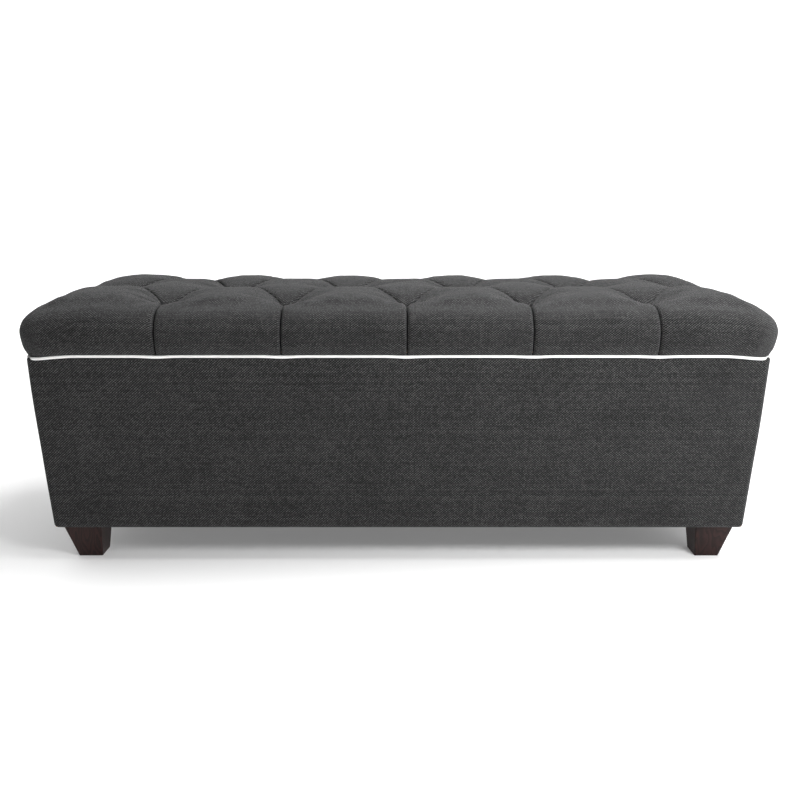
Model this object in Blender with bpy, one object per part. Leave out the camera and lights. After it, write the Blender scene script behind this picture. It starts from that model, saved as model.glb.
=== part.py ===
"""Tufted storage bench: an upholstered, slightly flared box on four tapered wooden feet,
with a button-tufted lid that swings up on two butt hinges and two sliding stays.

Metres, +Z up, the front faces -Y, +X runs along the length.
"""
import math

import bmesh
import bpy
from mathutils import Matrix, Vector
from mathutils.bvhtree import BVHTree

# ---------------------------------------------------------------- driving sizes
LID_LENGTH = 1.261
LID_DEPTH = 0.500
FOOT_HEIGHT = 0.0604
BOX_HEIGHT = 0.3020
HEM_GAP = 0.0060            # between the box's rim and the lid's hem, where the piping sits
LID_THICKNESS = 0.0955
BOX_BOTTOM_Z = FOOT_HEIGHT + 0.0011         # the dust cover lies on the feet
RIM_Z = BOX_BOTTOM_Z + BOX_HEIGHT           # top of the upholstered box
HEM_Z = RIM_Z + HEM_GAP                     # underside of the lid's cover
PILLOW_Z = HEM_Z + LID_THICKNESS            # tops of the pillows

TOUCH_GAP = 0.0003          # between pieces that touch
CUT_PAST = 0.010            # cutters run past the piece that they cut
SHEET = 0.0015              # cloth cover thickness
LINING = 0.0006

# ---------------------------------------------------------------- lid outline
HALF_LENGTH = LID_LENGTH / 2
HALF_DEPTH = LID_DEPTH / 2
HEM_INSET = 0.0145          # the lid tucks in towards its lower edge
HEM_TURN = 0.020            # cloth turned under the lid
CREST_INSET = 0.033         # where the side roll turns into the top
CORNER_RADIUS = 0.045       # plan corner at the widest outline

# inset from the widest outline and height above the hem, from the crest down
SIDE_SHAPE = [
    (CREST_INSET, 0.0870),
    (0.0180, 0.0795),
    (0.0070, 0.0655),
    (0.0010, 0.0505),
    (0.0000, 0.0400),
    (0.0015, 0.0280),
    (0.0055, 0.0130),
    (HEM_INSET, 0.0000),
]
SIDE_ROLL = [(inset, HEM_Z + height) for inset, height in SIDE_SHAPE]

# ---------------------------------------------------------------- tufting
# each row: distance from the lid's middle, button count, spacing, sideways shift
BUTTON_ROWS = [
    (-0.150, 5, 0.2070, 0.014),
    (0.000, 6, 0.2120, 0.011),
    (0.150, 5, 0.2060, 0.004),
]
BUTTON_RADIUS = 0.0085
BUTTON_THICKNESS = 0.006
PIT_DEPTH = 0.024
PIT_REACH = 0.045
FOAM_EDGE_LIFT = 0.004      # rounded lower edge of the foam
FOAM_EDGE_INSET = 0.006
CREASE_DEPTH = 0.012
CREASE_REACH = 0.040
PLEAT_DEPTH = 0.005         # vertical pleats in the lid's sides
PLEAT_REACH = 0.030
EDGE_RISE = 0.060           # the top rises to full height over this reach from the crest
BOARD_EASE = 0.001          # between the lid board's edge and its cover
LINING_INSET = 0.010        # the lid's lining stops short of the hem
PLEAT_FADE = 0.030          # the pleats fade out over this height above the hem
CORNER_STEPS = 2            # mesh steps over the seat's surface
LENGTH_STEPS = 42
DEPTH_STEPS = 15

# ---------------------------------------------------------------- box
RIM_HALF_LENGTH = HALF_LENGTH - HEM_INSET
RIM_HALF_DEPTH = HALF_DEPTH - HEM_INSET
FLARE_X = 0.095             # share of the length lost per metre below the rim
FLARE_Y = 0.120
PANEL = 0.015
COVER = 0.0027              # box cloth with its wadding
COVER_LIP = 0.0185          # cloth turned over the panel edges
BASE_THICKNESS = 0.012
BASE_Z = BOX_BOTTOM_Z + 0.0405
BLOCK_SIDE = 0.070
CLEAT_WIDTH = 0.022
CLEAT_HEIGHT = 0.030
CLEAT_GAP = 0.020           # between a cleat's end and the corner block
WELL_CLOTH = 0.0010         # thickness of the storage well's lining
DUST_LAP = 0.008            # the dust cover laps past the base's outline

# ---------------------------------------------------------------- feet
FOOT_TOP = 0.0646
FOOT_BOTTOM = 0.0418
FOOT_INNER_X = 0.5195
FOOT_INNER_Y = 0.1519
FOOT_INNER_TAPER = 0.0067   # the inner faces slope in a little, the outer faces more
FOOT_EASE = 0.0015
BOLT_RADIUS = 0.004
BOLT_HOLE_RADIUS = 0.0043
BOLT_LOW_Z = 0.018
BOLT_HIGH_Z = BASE_Z - 0.008

# ---------------------------------------------------------------- hinges
AXIS_Y = RIM_HALF_DEPTH + 0.0043
AXIS_Z = RIM_Z + 0.0025
HINGE_X = 0.400
HINGE_LENGTH = 0.072
KNUCKLES = 5
KNUCKLE_RADIUS = 0.0032
KNUCKLE_RELIEF = 0.0004     # plate stops short of the other leaf's knuckles
PLATE_LAP = 0.0020          # knuckle web laps the plate it joins
PIN_RADIUS = 0.0014
PIN_HOLE_RADIUS = 0.00146
LEAF = 0.0014
LEAF_INNER_Y = RIM_HALF_DEPTH - 0.024

# ---------------------------------------------------------------- piping
PIPING_RADIUS = 0.0026
PIPING_Z = RIM_Z + 0.0030
PIPING_INSET = HEM_INSET - 0.0005
PIPING_SIDES = 8
PIPING_HINGE_GAP = 0.043    # half the stretch left free at each hinge

# ---------------------------------------------------------------- sliding stays
STAY_REACH = 0.160          # hinge axis to arm pivot, and arm pivot to sliding pin
ARM_DROP = math.radians(12)     # arm pivot below the level of the hinge axis
TRACK_DROP = math.radians(15)   # slope of the track, whose line meets the hinge axis
LID_OPENING = math.radians(80)
TRACK_X = RIM_HALF_LENGTH - 0.0330
ARM_X = TRACK_X - 0.0055
EAR_X = ARM_X - 0.0025
STRIP = 0.0020
FLANGE_WIDTH = 0.0160       # bracket flange inboard of its ear
BRACKET_HALF = 0.0190
EAR_SHOULDER = 0.0060       # full height of the ear at its two ends
EAR_TIP_WIDE = 0.0070
EAR_TIP_NARROW = 0.0040
RIVET_PAST_ARM = 0.0010
HEAD_CLEARANCE = 0.0003
HEAD_END = 0.0016           # rivet head's outer face beyond the arm
ARM_THICKNESS = 0.0025
ARM_HALF_WIDTH = 0.007
TRACK_HALF_WIDTH = 0.0065
TRACK_BACK_END = 0.0065      # track past the pin at each end of its travel
TRACK_FRONT_END = 0.0140
TRACK_FOOT_RADIUS = 0.0018
SLOT_HALF_WIDTH = 0.0028
SLIDE_PIN_RADIUS = 0.0025
SLIDE_HEAD_RADIUS = 0.0040
RIVET_RADIUS = 0.0030
RIVET_HOLE_RADIUS = 0.00305
RIVET_HEAD_RADIUS = 0.0050

# ---------------------------------------------------------------- looks: colour, roughness, metal
LOOKS = {
    "charcoal": ((0.048, 0.047, 0.049, 1), 0.92, 0.0),
    "white_cord": ((0.86, 0.85, 0.82, 1), 0.75, 0.0),
    "dark_wood": ((0.030, 0.018, 0.015, 1), 0.38, 0.0),
    "plywood": ((0.52, 0.38, 0.22, 1), 0.65, 0.0),
    "foam": ((0.80, 0.76, 0.62, 1), 0.95, 0.0),
    "black_cloth": ((0.018, 0.018, 0.019, 1), 0.95, 0.0),
    "steel": ((0.60, 0.59, 0.57, 1), 0.32, 1.0),
    "black_steel": ((0.030, 0.030, 0.032, 1), 0.42, 0.6),
}


# ---------------------------------------------------------------- scene helpers
def clear_scene():
    for obj in list(bpy.data.objects):
        bpy.data.objects.remove(obj, do_unlink=True)


def make_material(name, look):
    colour, roughness, metal = LOOKS[look]
    material = bpy.data.materials.new(name)
    material.use_nodes = True
    shader = material.node_tree.nodes["Principled BSDF"]
    shader.inputs["Base Color"].default_value = colour
    shader.inputs["Roughness"].default_value = roughness
    shader.inputs["Metallic"].default_value = metal
    material.diffuse_color = colour
    return material


def add_object(name, mesh_data, look, smooth=False):
    """Turn a bmesh into a named object with its own material."""
    bmesh.ops.remove_doubles(mesh_data, verts=mesh_data.verts, dist=1e-6)
    bmesh.ops.recalc_face_normals(mesh_data, faces=mesh_data.faces)
    mesh = bpy.data.meshes.new(name)
    mesh_data.to_mesh(mesh)
    mesh_data.free()
    mesh.polygons.foreach_set("use_smooth", [smooth] * len(mesh.polygons))
    obj = bpy.data.objects.new(name, mesh)
    bpy.context.scene.collection.objects.link(obj)
    mesh.materials.append(make_material(name, look))
    return obj


def set_origin(obj, point):
    """Move the object's origin without moving its surface."""
    obj.data.transform(Matrix.Translation(-Vector(point)))
    obj.location = point


def combine(base, tools, operation):
    """Join tools to the base, or cut them from it, and delete the tools."""
    for tool in tools:
        tool.hide_render = True
        tool.display_type = "WIRE"
        step = base.modifiers.new(operation.lower(), "BOOLEAN")
        step.operation = operation
        step.solver = "EXACT"
        step.object = tool
    bpy.context.view_layer.update()
    graph = bpy.context.evaluated_depsgraph_get()
    result = bpy.data.meshes.new_from_object(base.evaluated_get(graph))
    base.modifiers.clear()
    base.data = result
    while len(result.materials) > 1:
        result.materials.pop()
    for tool in tools:
        bpy.data.objects.remove(tool, do_unlink=True)
    return base


# ---------------------------------------------------------------- shape helpers
def fill_cuboid(mesh_data, low, high):
    corners = [(x, y, z) for x in (low[0], high[0]) for y in (low[1], high[1]) for z in (low[2], high[2])]
    verts = [mesh_data.verts.new(corner) for corner in corners]
    for face in ((0, 1, 3, 2), (4, 6, 7, 5), (0, 4, 5, 1), (2, 3, 7, 6), (0, 2, 6, 4), (1, 5, 7, 3)):
        mesh_data.faces.new([verts[i] for i in face])
    return verts


def cuboid(low, high):
    mesh_data = bmesh.new()
    fill_cuboid(mesh_data, low, high)
    return mesh_data


def prism(outline, axis, start, end):
    """Extrude a flat outline along X (0), Y (1) or Z (2); the outline holds the other two coordinates."""
    mesh_data = bmesh.new()

    def place(point, along):
        values = list(point)
        values.insert(axis, along)
        return mesh_data.verts.new(values)

    first = [place(point, start) for point in outline]
    last = [place(point, end) for point in outline]
    mesh_data.faces.new(first)
    mesh_data.faces.new(last[::-1])
    for i in range(len(outline)):
        j = (i + 1) % len(outline)
        mesh_data.faces.new((first[i], last[i], last[j], first[j]))
    return mesh_data


def rod(axis, centre, radius, start, end, sides=16, phase=0.0):
    """A round bar along X (0), Y (1) or Z (2); the centre holds the other two coordinates."""
    outline = []
    for i in range(sides):
        angle = phase + 2 * math.pi * i / sides
        outline.append((centre[0] + radius * math.cos(angle), centre[1] + radius * math.sin(angle)))
    return prism(outline, axis, start, end)


def tool(mesh_data):
    """An unnamed solid used only to add to or cut from another."""
    return add_object("tool", mesh_data, "steel")


def flare(mesh_data):
    """Lean the box's upright walls in towards the floor."""
    for vert in mesh_data.verts:
        below_rim = RIM_Z - vert.co.z
        vert.co.x *= 1 - FLARE_X * below_rim
        vert.co.y *= 1 - FLARE_Y * below_rim
    return mesh_data


def rounded_outline(inset, steps=6):
    """Plan outline of the lid at an inset from its widest outline, anticlockwise from the back right."""
    radius = CORNER_RADIUS - inset
    half_x = HALF_LENGTH - CORNER_RADIUS
    half_y = HALF_DEPTH - CORNER_RADIUS
    points = []
    for turn, (sign_x, sign_y) in enumerate(((1, 1), (-1, 1), (-1, -1), (1, -1))):
        for i in range(steps + 1):
            angle = math.pi / 2 * (turn + i / steps)
            points.append((
                sign_x * half_x + radius * math.cos(angle),
                sign_y * half_y + radius * math.sin(angle),
            ))
    return points


# ---------------------------------------------------------------- tufting pattern
def row_buttons(row):
    y, count, spacing, shift = BUTTON_ROWS[row]
    return [((i - (count - 1) / 2) * spacing + shift, y) for i in range(count)]


def all_buttons():
    return [button for row in range(len(BUTTON_ROWS)) for button in row_buttons(row)]


def diagonal_creases():
    """Folds that run from each outer-row button to its two neighbours in the middle row."""
    middle = row_buttons(1)
    creases = []
    for row in (0, 2):
        for i, button in enumerate(row_buttons(row)):
            creases.append((button, middle[i]))
            creases.append((button, middle[i + 1]))
    return creases


def edge_creases():
    """Pleats that run from the outer buttons to the lid's edge."""
    creases = [(button, (button[0], -HALF_DEPTH)) for button in row_buttons(0)]
    creases += [(button, (button[0], HALF_DEPTH)) for button in row_buttons(2)]
    middle = row_buttons(1)
    creases.append((middle[0], (-HALF_LENGTH, middle[0][1])))
    creases.append((middle[-1], (HALF_LENGTH, middle[-1][1])))
    return creases


def distance_to_segment(x, y, segment):
    (ax, ay), (bx, by) = segment
    dx, dy = bx - ax, by - ay
    along = ((x - ax) * dx + (y - ay) * dy) / (dx * dx + dy * dy)
    along = min(max(along, 0.0), 1.0)
    return math.hypot(x - ax - along * dx, y - ay - along * dy)


def dip(distance, reach):
    """1 at a fold's bottom, falling smoothly to 0 at its reach."""
    if distance >= reach:
        return 0.0
    return (1 - distance / reach) ** 2


CREASES = diagonal_creases() + edge_creases()
BUTTONS = all_buttons()


def seat_height(x, y):
    """Height of the tufted top over a plan point."""
    to_edge = min(HALF_LENGTH - abs(x), HALF_DEPTH - abs(y))
    rise = min(max((to_edge - CREST_INSET) / EDGE_RISE, 0.0), 1.0)
    crest_z = SIDE_ROLL[0][1]
    height = crest_z + (PILLOW_Z - crest_z) * math.sin(rise * math.pi / 2)
    crease = min(distance_to_segment(x, y, fold) for fold in CREASES)
    button = min(math.hypot(x - bx, y - by) for bx, by in BUTTONS)
    return height - max(CREASE_DEPTH * dip(crease, CREASE_REACH), PIT_DEPTH * dip(button, PIT_REACH))


def side_pleat(x, y):
    """How deep a vertical pleat pulls in the lid's side near a plan point."""
    nearest = min(distance_to_segment(x, y, fold) for fold in edge_creases())
    return PLEAT_DEPTH * dip(nearest, PLEAT_REACH)


# ---------------------------------------------------------------- seat surface
def grid_lines(half, radius, corner_steps, middle_steps):
    inner = half - radius
    middle = [-inner + 2 * inner * i / middle_steps for i in range(middle_steps + 1)]
    corner = [inner + radius * i / corner_steps for i in range(1, corner_steps + 1)]
    return [-value for value in reversed(corner)] + middle + corner


def round_corner(x, y, half_x, half_y, radius):
    """Move a point of a square-cornered grid so that the grid's corners become round."""
    a = (abs(x) - (half_x - radius)) / radius
    b = (abs(y) - (half_y - radius)) / radius
    if a <= 0 or b <= 0:
        return x, y
    round_a = a * math.sqrt(1 - b * b / 2)
    round_b = b * math.sqrt(1 - a * a / 2)
    return (
        math.copysign(half_x - radius + radius * round_a, x),
        math.copysign(half_y - radius + radius * round_b, y),
    )


def outward(x, y):
    """Outward direction of the lid's side at a plan point on the crest outline."""
    over_x = max(abs(x) - (HALF_LENGTH - CORNER_RADIUS), 0.0)
    over_y = max(abs(y) - (HALF_DEPTH - CORNER_RADIUS), 0.0)
    return Vector((math.copysign(over_x, x), math.copysign(over_y, y), 0)).normalized()


def seat_layer(mesh_data, thickness_above, profile):
    """Top grid and side rings of one layer of the seat; returns its lowest ring of vertices."""
    half_x = HALF_LENGTH - CREST_INSET
    half_y = HALF_DEPTH - CREST_INSET
    radius = CORNER_RADIUS - CREST_INSET
    xs = grid_lines(half_x, radius, CORNER_STEPS, LENGTH_STEPS)
    ys = grid_lines(half_y, radius, CORNER_STEPS, DEPTH_STEPS)
    grid = []
    for x in xs:
        column = []
        for y in ys:
            px, py = round_corner(x, y, half_x, half_y, radius)
            column.append(mesh_data.verts.new((px, py, seat_height(px, py) - thickness_above)))
        grid.append(column)
    for i in range(len(xs) - 1):
        for j in range(len(ys) - 1):
            mesh_data.faces.new((grid[i][j], grid[i + 1][j], grid[i + 1][j + 1], grid[i][j + 1]))
    last_i, last_j = len(xs) - 1, len(ys) - 1
    ring = [grid[i][0] for i in range(last_i)]
    ring += [grid[last_i][j] for j in range(last_j)]
    ring += [grid[i][last_j] for i in range(last_i, 0, -1)]
    ring += [grid[0][j] for j in range(last_j, 0, -1)]
    crest = [vert.co.copy() for vert in ring]
    for inset, z in profile:
        lower = []
        for point in crest:
            out = outward(point.x, point.y)
            place = point + out * (CREST_INSET - inset - thickness_above)
            fade = min(max((z - HEM_Z) / PLEAT_FADE, 0.0), 1.0)
            place -= out * side_pleat(point.x, point.y) * fade
            place.z = z
            lower.append(mesh_data.verts.new(place))
        bridge(mesh_data, ring, lower)
        ring = lower
    return ring


def bridge(mesh_data, ring_a, ring_b):
    count = len(ring_a)
    for i in range(count):
        j = (i + 1) % count
        mesh_data.faces.new((ring_a[i], ring_b[i], ring_b[j], ring_a[j]))


def inset_ring(mesh_data, ring, inward, z):
    """A copy of a ring moved towards the middle of the lid."""
    copies = []
    for vert in ring:
        place = vert.co - outward(vert.co.x, vert.co.y) * inward
        place.z = z
        copies.append(mesh_data.verts.new(place))
    return copies


def build_seat_cover():
    mesh_data = bmesh.new()
    hem = seat_layer(mesh_data, 0.0, SIDE_ROLL[1:])
    inner_profile = [(inset, max(z, HEM_Z + SHEET)) for inset, z in SIDE_ROLL[1:]]
    inner_hem = seat_layer(mesh_data, SHEET, inner_profile)
    turned_under = inset_ring(mesh_data, hem, HEM_TURN, HEM_Z)
    turned_over = inset_ring(mesh_data, hem, HEM_TURN, HEM_Z + SHEET)
    bridge(mesh_data, hem, turned_under)
    bridge(mesh_data, turned_under, turned_over)
    bridge(mesh_data, turned_over, inner_hem)
    return add_object("seat_cover", mesh_data, "charcoal", smooth=True)


def build_seat_foam(bottom_z):
    mesh_data = bmesh.new()
    thickness = SHEET + TOUCH_GAP
    profile = [(inset, z) for inset, z in SIDE_ROLL[1:] if z > bottom_z + FOAM_EDGE_LIFT]
    lowest = seat_layer(mesh_data, thickness, profile)
    bottom = inset_ring(mesh_data, lowest, FOAM_EDGE_INSET, bottom_z)
    bridge(mesh_data, lowest, bottom)
    mesh_data.faces.new(bottom[::-1])
    return add_object("seat_foam", mesh_data, "foam", smooth=True)


def build_button(index, x, y, cover_tree):
    """A small covered button that rests on the cover at the bottom of its pit."""
    heights = []
    for i in range(12):
        angle = math.pi * i / 6
        start = Vector((x + BUTTON_RADIUS * math.cos(angle), y + BUTTON_RADIUS * math.sin(angle), 1.0))
        hit = cover_tree.ray_cast(start, Vector((0, 0, -1)))
        heights.append(hit[0].z)
    base_z = max(heights) + TOUCH_GAP
    sides = 10
    mesh_data = bmesh.new()
    rings = []
    for share, lift in ((0.80, 0.0), (1.0, 0.35), (0.80, 0.80)):
        ring = []
        for i in range(sides):
            angle = 2 * math.pi * i / sides
            ring.append(mesh_data.verts.new((
                x + share * BUTTON_RADIUS * math.cos(angle),
                y + share * BUTTON_RADIUS * math.sin(angle),
                base_z + lift * BUTTON_THICKNESS,
            )))
        rings.append(ring)
    top = mesh_data.verts.new((x, y, base_z + BUTTON_THICKNESS))
    mesh_data.faces.new(rings[0][::-1])
    bridge(mesh_data, rings[0], rings[1])
    bridge(mesh_data, rings[1], rings[2])
    for i in range(sides):
        mesh_data.faces.new((rings[2][i], rings[2][(i + 1) % sides], top))
    return add_object("tuft_button_%02d" % index, mesh_data, "charcoal", smooth=True)


def build_lid():
    cover = build_seat_cover()
    cover_mesh = bmesh.new()
    cover_mesh.from_mesh(cover.data)
    cover_tree = BVHTree.FromBMesh(cover_mesh)
    cover_mesh.free()
    board_low = HEM_Z + SHEET + TOUCH_GAP
    board_high = board_low + PANEL
    board_outline = rounded_outline(HEM_INSET + SHEET + BOARD_EASE)
    add_object("lid_board", prism(board_outline, 2, board_low, board_high), "plywood")
    build_seat_foam(board_high + TOUCH_GAP)
    lining_high = HEM_Z - TOUCH_GAP
    lining_outline = rounded_outline(HEM_INSET + LINING_INSET)
    add_object("lid_lining", prism(lining_outline, 2, lining_high - LINING, lining_high), "black_cloth")
    for index, (x, y) in enumerate(BUTTONS, 1):
        build_button(index, x, y, cover_tree)
    build_piping()


# ---------------------------------------------------------------- piping
def tube(name, path, look):
    """A round cord along a level path with both ends closed."""
    mesh_data = bmesh.new()
    rings = []
    for i, point in enumerate(path):
        before = path[max(i - 1, 0)]
        after = path[min(i + 1, len(path) - 1)]
        along = (after - before).normalized()
        side = Vector((along.y, -along.x, 0))
        ring = []
        for step in range(PIPING_SIDES):
            angle = 2 * math.pi * (step + 0.5) / PIPING_SIDES
            offset = side * math.cos(angle) + Vector((0, 0, 1)) * math.sin(angle)
            ring.append(mesh_data.verts.new(point + offset * PIPING_RADIUS))
        rings.append(ring)
    for ring_a, ring_b in zip(rings, rings[1:]):
        bridge(mesh_data, ring_a, ring_b)
    mesh_data.faces.new(rings[0])
    mesh_data.faces.new(rings[-1][::-1])
    return add_object(name, mesh_data, look, smooth=True)


def build_piping():
    outline = [Vector((x, y, PIPING_Z)) for x, y in rounded_outline(PIPING_INSET)]
    back_y = HALF_DEPTH - PIPING_INSET
    start = Vector((-HINGE_X - PIPING_HINGE_GAP, back_y, PIPING_Z))
    end = Vector((HINGE_X + PIPING_HINGE_GAP, back_y, PIPING_Z))
    quarter = len(outline) // 4
    around = outline[quarter:] + outline[:quarter]
    tube("piping_front", [start] + around + [end], "white_cord")
    inner = HINGE_X - PIPING_HINGE_GAP
    back_path = [Vector((x, back_y, PIPING_Z)) for x in (-inner, 0, inner)]
    tube("piping_back", back_path, "white_cord")


# ---------------------------------------------------------------- box
def build_front_or_back(side, name):
    """Panel and wrapped cover of one long side; side is -1 for the front and 1 for the back."""
    outer_y = RIM_HALF_DEPTH
    panel_y = outer_y - COVER - TOUCH_GAP
    panel_x = RIM_HALF_LENGTH - COVER - TOUCH_GAP
    low_z = BOX_BOTTOM_Z + SHEET + TOUCH_GAP
    high_z = RIM_Z - SHEET - TOUCH_GAP
    ys = sorted((side * panel_y, side * (panel_y - PANEL)))
    panel = cuboid((-panel_x, ys[0], low_z), (panel_x, ys[1], high_z))
    add_object(name + "_panel", flare(panel), "plywood")

    open_y = side * (outer_y - COVER_LIP)
    recess_y = side * (outer_y - COVER)
    recess_x = RIM_HALF_LENGTH - COVER
    mesh_data = bmesh.new()
    rings = []
    for half_x, y, low, high in (
        (RIM_HALF_LENGTH, side * outer_y, BOX_BOTTOM_Z, RIM_Z),
        (RIM_HALF_LENGTH, open_y, BOX_BOTTOM_Z, RIM_Z),
        (recess_x, open_y, BOX_BOTTOM_Z + SHEET, RIM_Z - SHEET),
        (recess_x, recess_y, BOX_BOTTOM_Z + SHEET, RIM_Z - SHEET),
    ):
        corners = ((-half_x, low), (half_x, low), (half_x, high), (-half_x, high))
        rings.append([mesh_data.verts.new((x, y, z)) for x, z in corners])
    for ring_a, ring_b in zip(rings, rings[1:]):
        bridge(mesh_data, ring_a, ring_b)
    mesh_data.faces.new(rings[0])
    mesh_data.faces.new(rings[-1])
    add_object(name + "_cover", flare(mesh_data), "charcoal")


def build_end(side, name):
    """Panel and cover of one short side; side is -1 for the left and 1 for the right."""
    half_y = RIM_HALF_DEPTH - COVER_LIP - TOUCH_GAP
    outer_x = RIM_HALF_LENGTH
    panel_x = outer_x - COVER - TOUCH_GAP
    low_z = BOX_BOTTOM_Z + SHEET + TOUCH_GAP
    high_z = RIM_Z - SHEET - TOUCH_GAP
    xs = sorted((side * panel_x, side * (panel_x - PANEL)))
    panel = cuboid((xs[0], -half_y, low_z), (xs[1], half_y, high_z))
    add_object(name + "_panel", flare(panel), "plywood")

    outline = [
        (side * outer_x, BOX_BOTTOM_Z),
        (side * outer_x, RIM_Z),
        (side * (outer_x - COVER_LIP), RIM_Z),
        (side * (outer_x - COVER_LIP), RIM_Z - SHEET),
        (side * (outer_x - COVER), RIM_Z - SHEET),
        (side * (outer_x - COVER), BOX_BOTTOM_Z + SHEET),
        (side * (outer_x - COVER_LIP), BOX_BOTTOM_Z + SHEET),
        (side * (outer_x - COVER_LIP), BOX_BOTTOM_Z),
    ]
    add_object(name + "_cover", flare(prism(outline, 1, -half_y, half_y)), "charcoal")


def build_base():
    """Base panel on corner blocks and cleats, the storage lining and the dust cover."""
    inner_x = RIM_HALF_LENGTH - COVER - PANEL - 2 * TOUCH_GAP
    inner_y = RIM_HALF_DEPTH - COVER - PANEL - 2 * TOUCH_GAP
    base_top = BASE_Z + BASE_THICKNESS
    base = cuboid((-inner_x, -inner_y, BASE_Z), (inner_x, inner_y, base_top))
    add_object("base_panel", flare(base), "plywood")

    low_z = BOX_BOTTOM_Z + SHEET + TOUCH_GAP
    block_top = BASE_Z - TOUCH_GAP
    for name, sign_x, sign_y in corners():
        xs = sorted((sign_x * inner_x, sign_x * (inner_x - BLOCK_SIDE)))
        ys = sorted((sign_y * inner_y, sign_y * (inner_y - BLOCK_SIDE)))
        block = cuboid((xs[0], ys[0], low_z), (xs[1], ys[1], block_top))
        block = add_object("corner_block_" + name, flare(block), "plywood")
        drill_bolt_hole(block, sign_x, sign_y, low_z - CUT_PAST, BOLT_HIGH_Z + TOUCH_GAP)

    cleat_half = inner_x - BLOCK_SIDE - CLEAT_GAP
    for name, sign_y in (("front", -1), ("back", 1)):
        ys = sorted((sign_y * inner_y, sign_y * (inner_y - CLEAT_WIDTH)))
        cleat = cuboid((-cleat_half, ys[0], block_top - CLEAT_HEIGHT), (cleat_half, ys[1], block_top))
        add_object("base_cleat_" + name, flare(cleat), "plywood")

    build_lining(inner_x - TOUCH_GAP, inner_y - TOUCH_GAP, base_top + TOUCH_GAP)

    dust_x = inner_x + DUST_LAP
    dust_y = inner_y + DUST_LAP
    high_z = BOX_BOTTOM_Z - TOUCH_GAP / 2
    dust = cuboid((-dust_x, -dust_y, high_z - LINING), (dust_x, dust_y, high_z))
    add_object("dust_cover", flare(dust), "black_cloth")


def build_lining(half_x, half_y, floor_z):
    """Cloth that lines the storage well: a thin open tray."""
    top_z = RIM_Z - SHEET - TOUCH_GAP
    mesh_data = bmesh.new()
    rings = []
    for inset, z in ((0, floor_z), (0, top_z), (WELL_CLOTH, top_z), (WELL_CLOTH, floor_z + WELL_CLOTH)):
        x, y = half_x - inset, half_y - inset
        rings.append([mesh_data.verts.new((a, b, z)) for a, b in ((-x, -y), (x, -y), (x, y), (-x, y))])
    for ring_a, ring_b in zip(rings, rings[1:]):
        bridge(mesh_data, ring_a, ring_b)
    mesh_data.faces.new(rings[0])
    mesh_data.faces.new(rings[-1])
    add_object("storage_lining", flare(mesh_data), "black_cloth")


def corners():
    return (
        ("front_left", -1, -1),
        ("front_right", 1, -1),
        ("back_left", -1, 1),
        ("back_right", 1, 1),
    )


def foot_centre(sign_x, sign_y):
    to_middle = FOOT_INNER_TAPER + FOOT_BOTTOM / 2
    return sign_x * (FOOT_INNER_X + to_middle), sign_y * (FOOT_INNER_Y + to_middle)


def drill_bolt_hole(obj, sign_x, sign_y, low_z, high_z):
    centre = foot_centre(sign_x, sign_y)
    combine(obj, [tool(rod(2, centre, BOLT_HOLE_RADIUS, low_z, high_z, sides=12))], "DIFFERENCE")


def build_foot(name, sign_x, sign_y):
    """A tapered block whose outer faces slope in more than its inner faces."""
    mesh_data = cuboid((0, 0, 0), (FOOT_TOP, FOOT_TOP, FOOT_HEIGHT))
    for vert in mesh_data.verts:
        if vert.co.z == 0:
            vert.co.x = FOOT_INNER_TAPER + min(vert.co.x, FOOT_BOTTOM)
            vert.co.y = FOOT_INNER_TAPER + min(vert.co.y, FOOT_BOTTOM)
        vert.co.x = sign_x * (FOOT_INNER_X + vert.co.x)
        vert.co.y = sign_y * (FOOT_INNER_Y + vert.co.y)
    upright = [edge for edge in mesh_data.edges if abs(edge.verts[0].co.z - edge.verts[1].co.z) > 0.01]
    bmesh.ops.bevel(mesh_data, geom=upright, offset=FOOT_EASE, segments=2, profile=0.5, affect="EDGES")
    foot = add_object("foot_" + name, mesh_data, "dark_wood")
    drill_bolt_hole(foot, sign_x, sign_y, BOLT_LOW_Z - TOUCH_GAP, FOOT_HEIGHT + CUT_PAST)


def build_feet():
    for name, sign_x, sign_y in corners():
        build_foot(name, sign_x, sign_y)
        centre = foot_centre(sign_x, sign_y)
        bolt = rod(2, centre, BOLT_RADIUS, BOLT_LOW_Z, BOLT_HIGH_Z, sides=12)
        add_object("foot_bolt_" + name, bolt, "steel", smooth=False)
    dust = bpy.data.objects["dust_cover"]
    for _, sign_x, sign_y in corners():
        drill_bolt_hole(dust, sign_x, sign_y, FOOT_HEIGHT - CUT_PAST, BOX_BOTTOM_Z + CUT_PAST)


# ---------------------------------------------------------------- hinges
def knuckle_spans(owner):
    """X spans of one leaf's knuckles, measured from the hinge's middle."""
    pitch = HINGE_LENGTH / KNUCKLES
    spans = []
    for i in range(KNUCKLES):
        if i % 2 == owner:
            start = -HINGE_LENGTH / 2 + i * pitch
            spans.append((start + TOUCH_GAP / 2, start + pitch - TOUCH_GAP / 2))
    return spans


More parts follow.
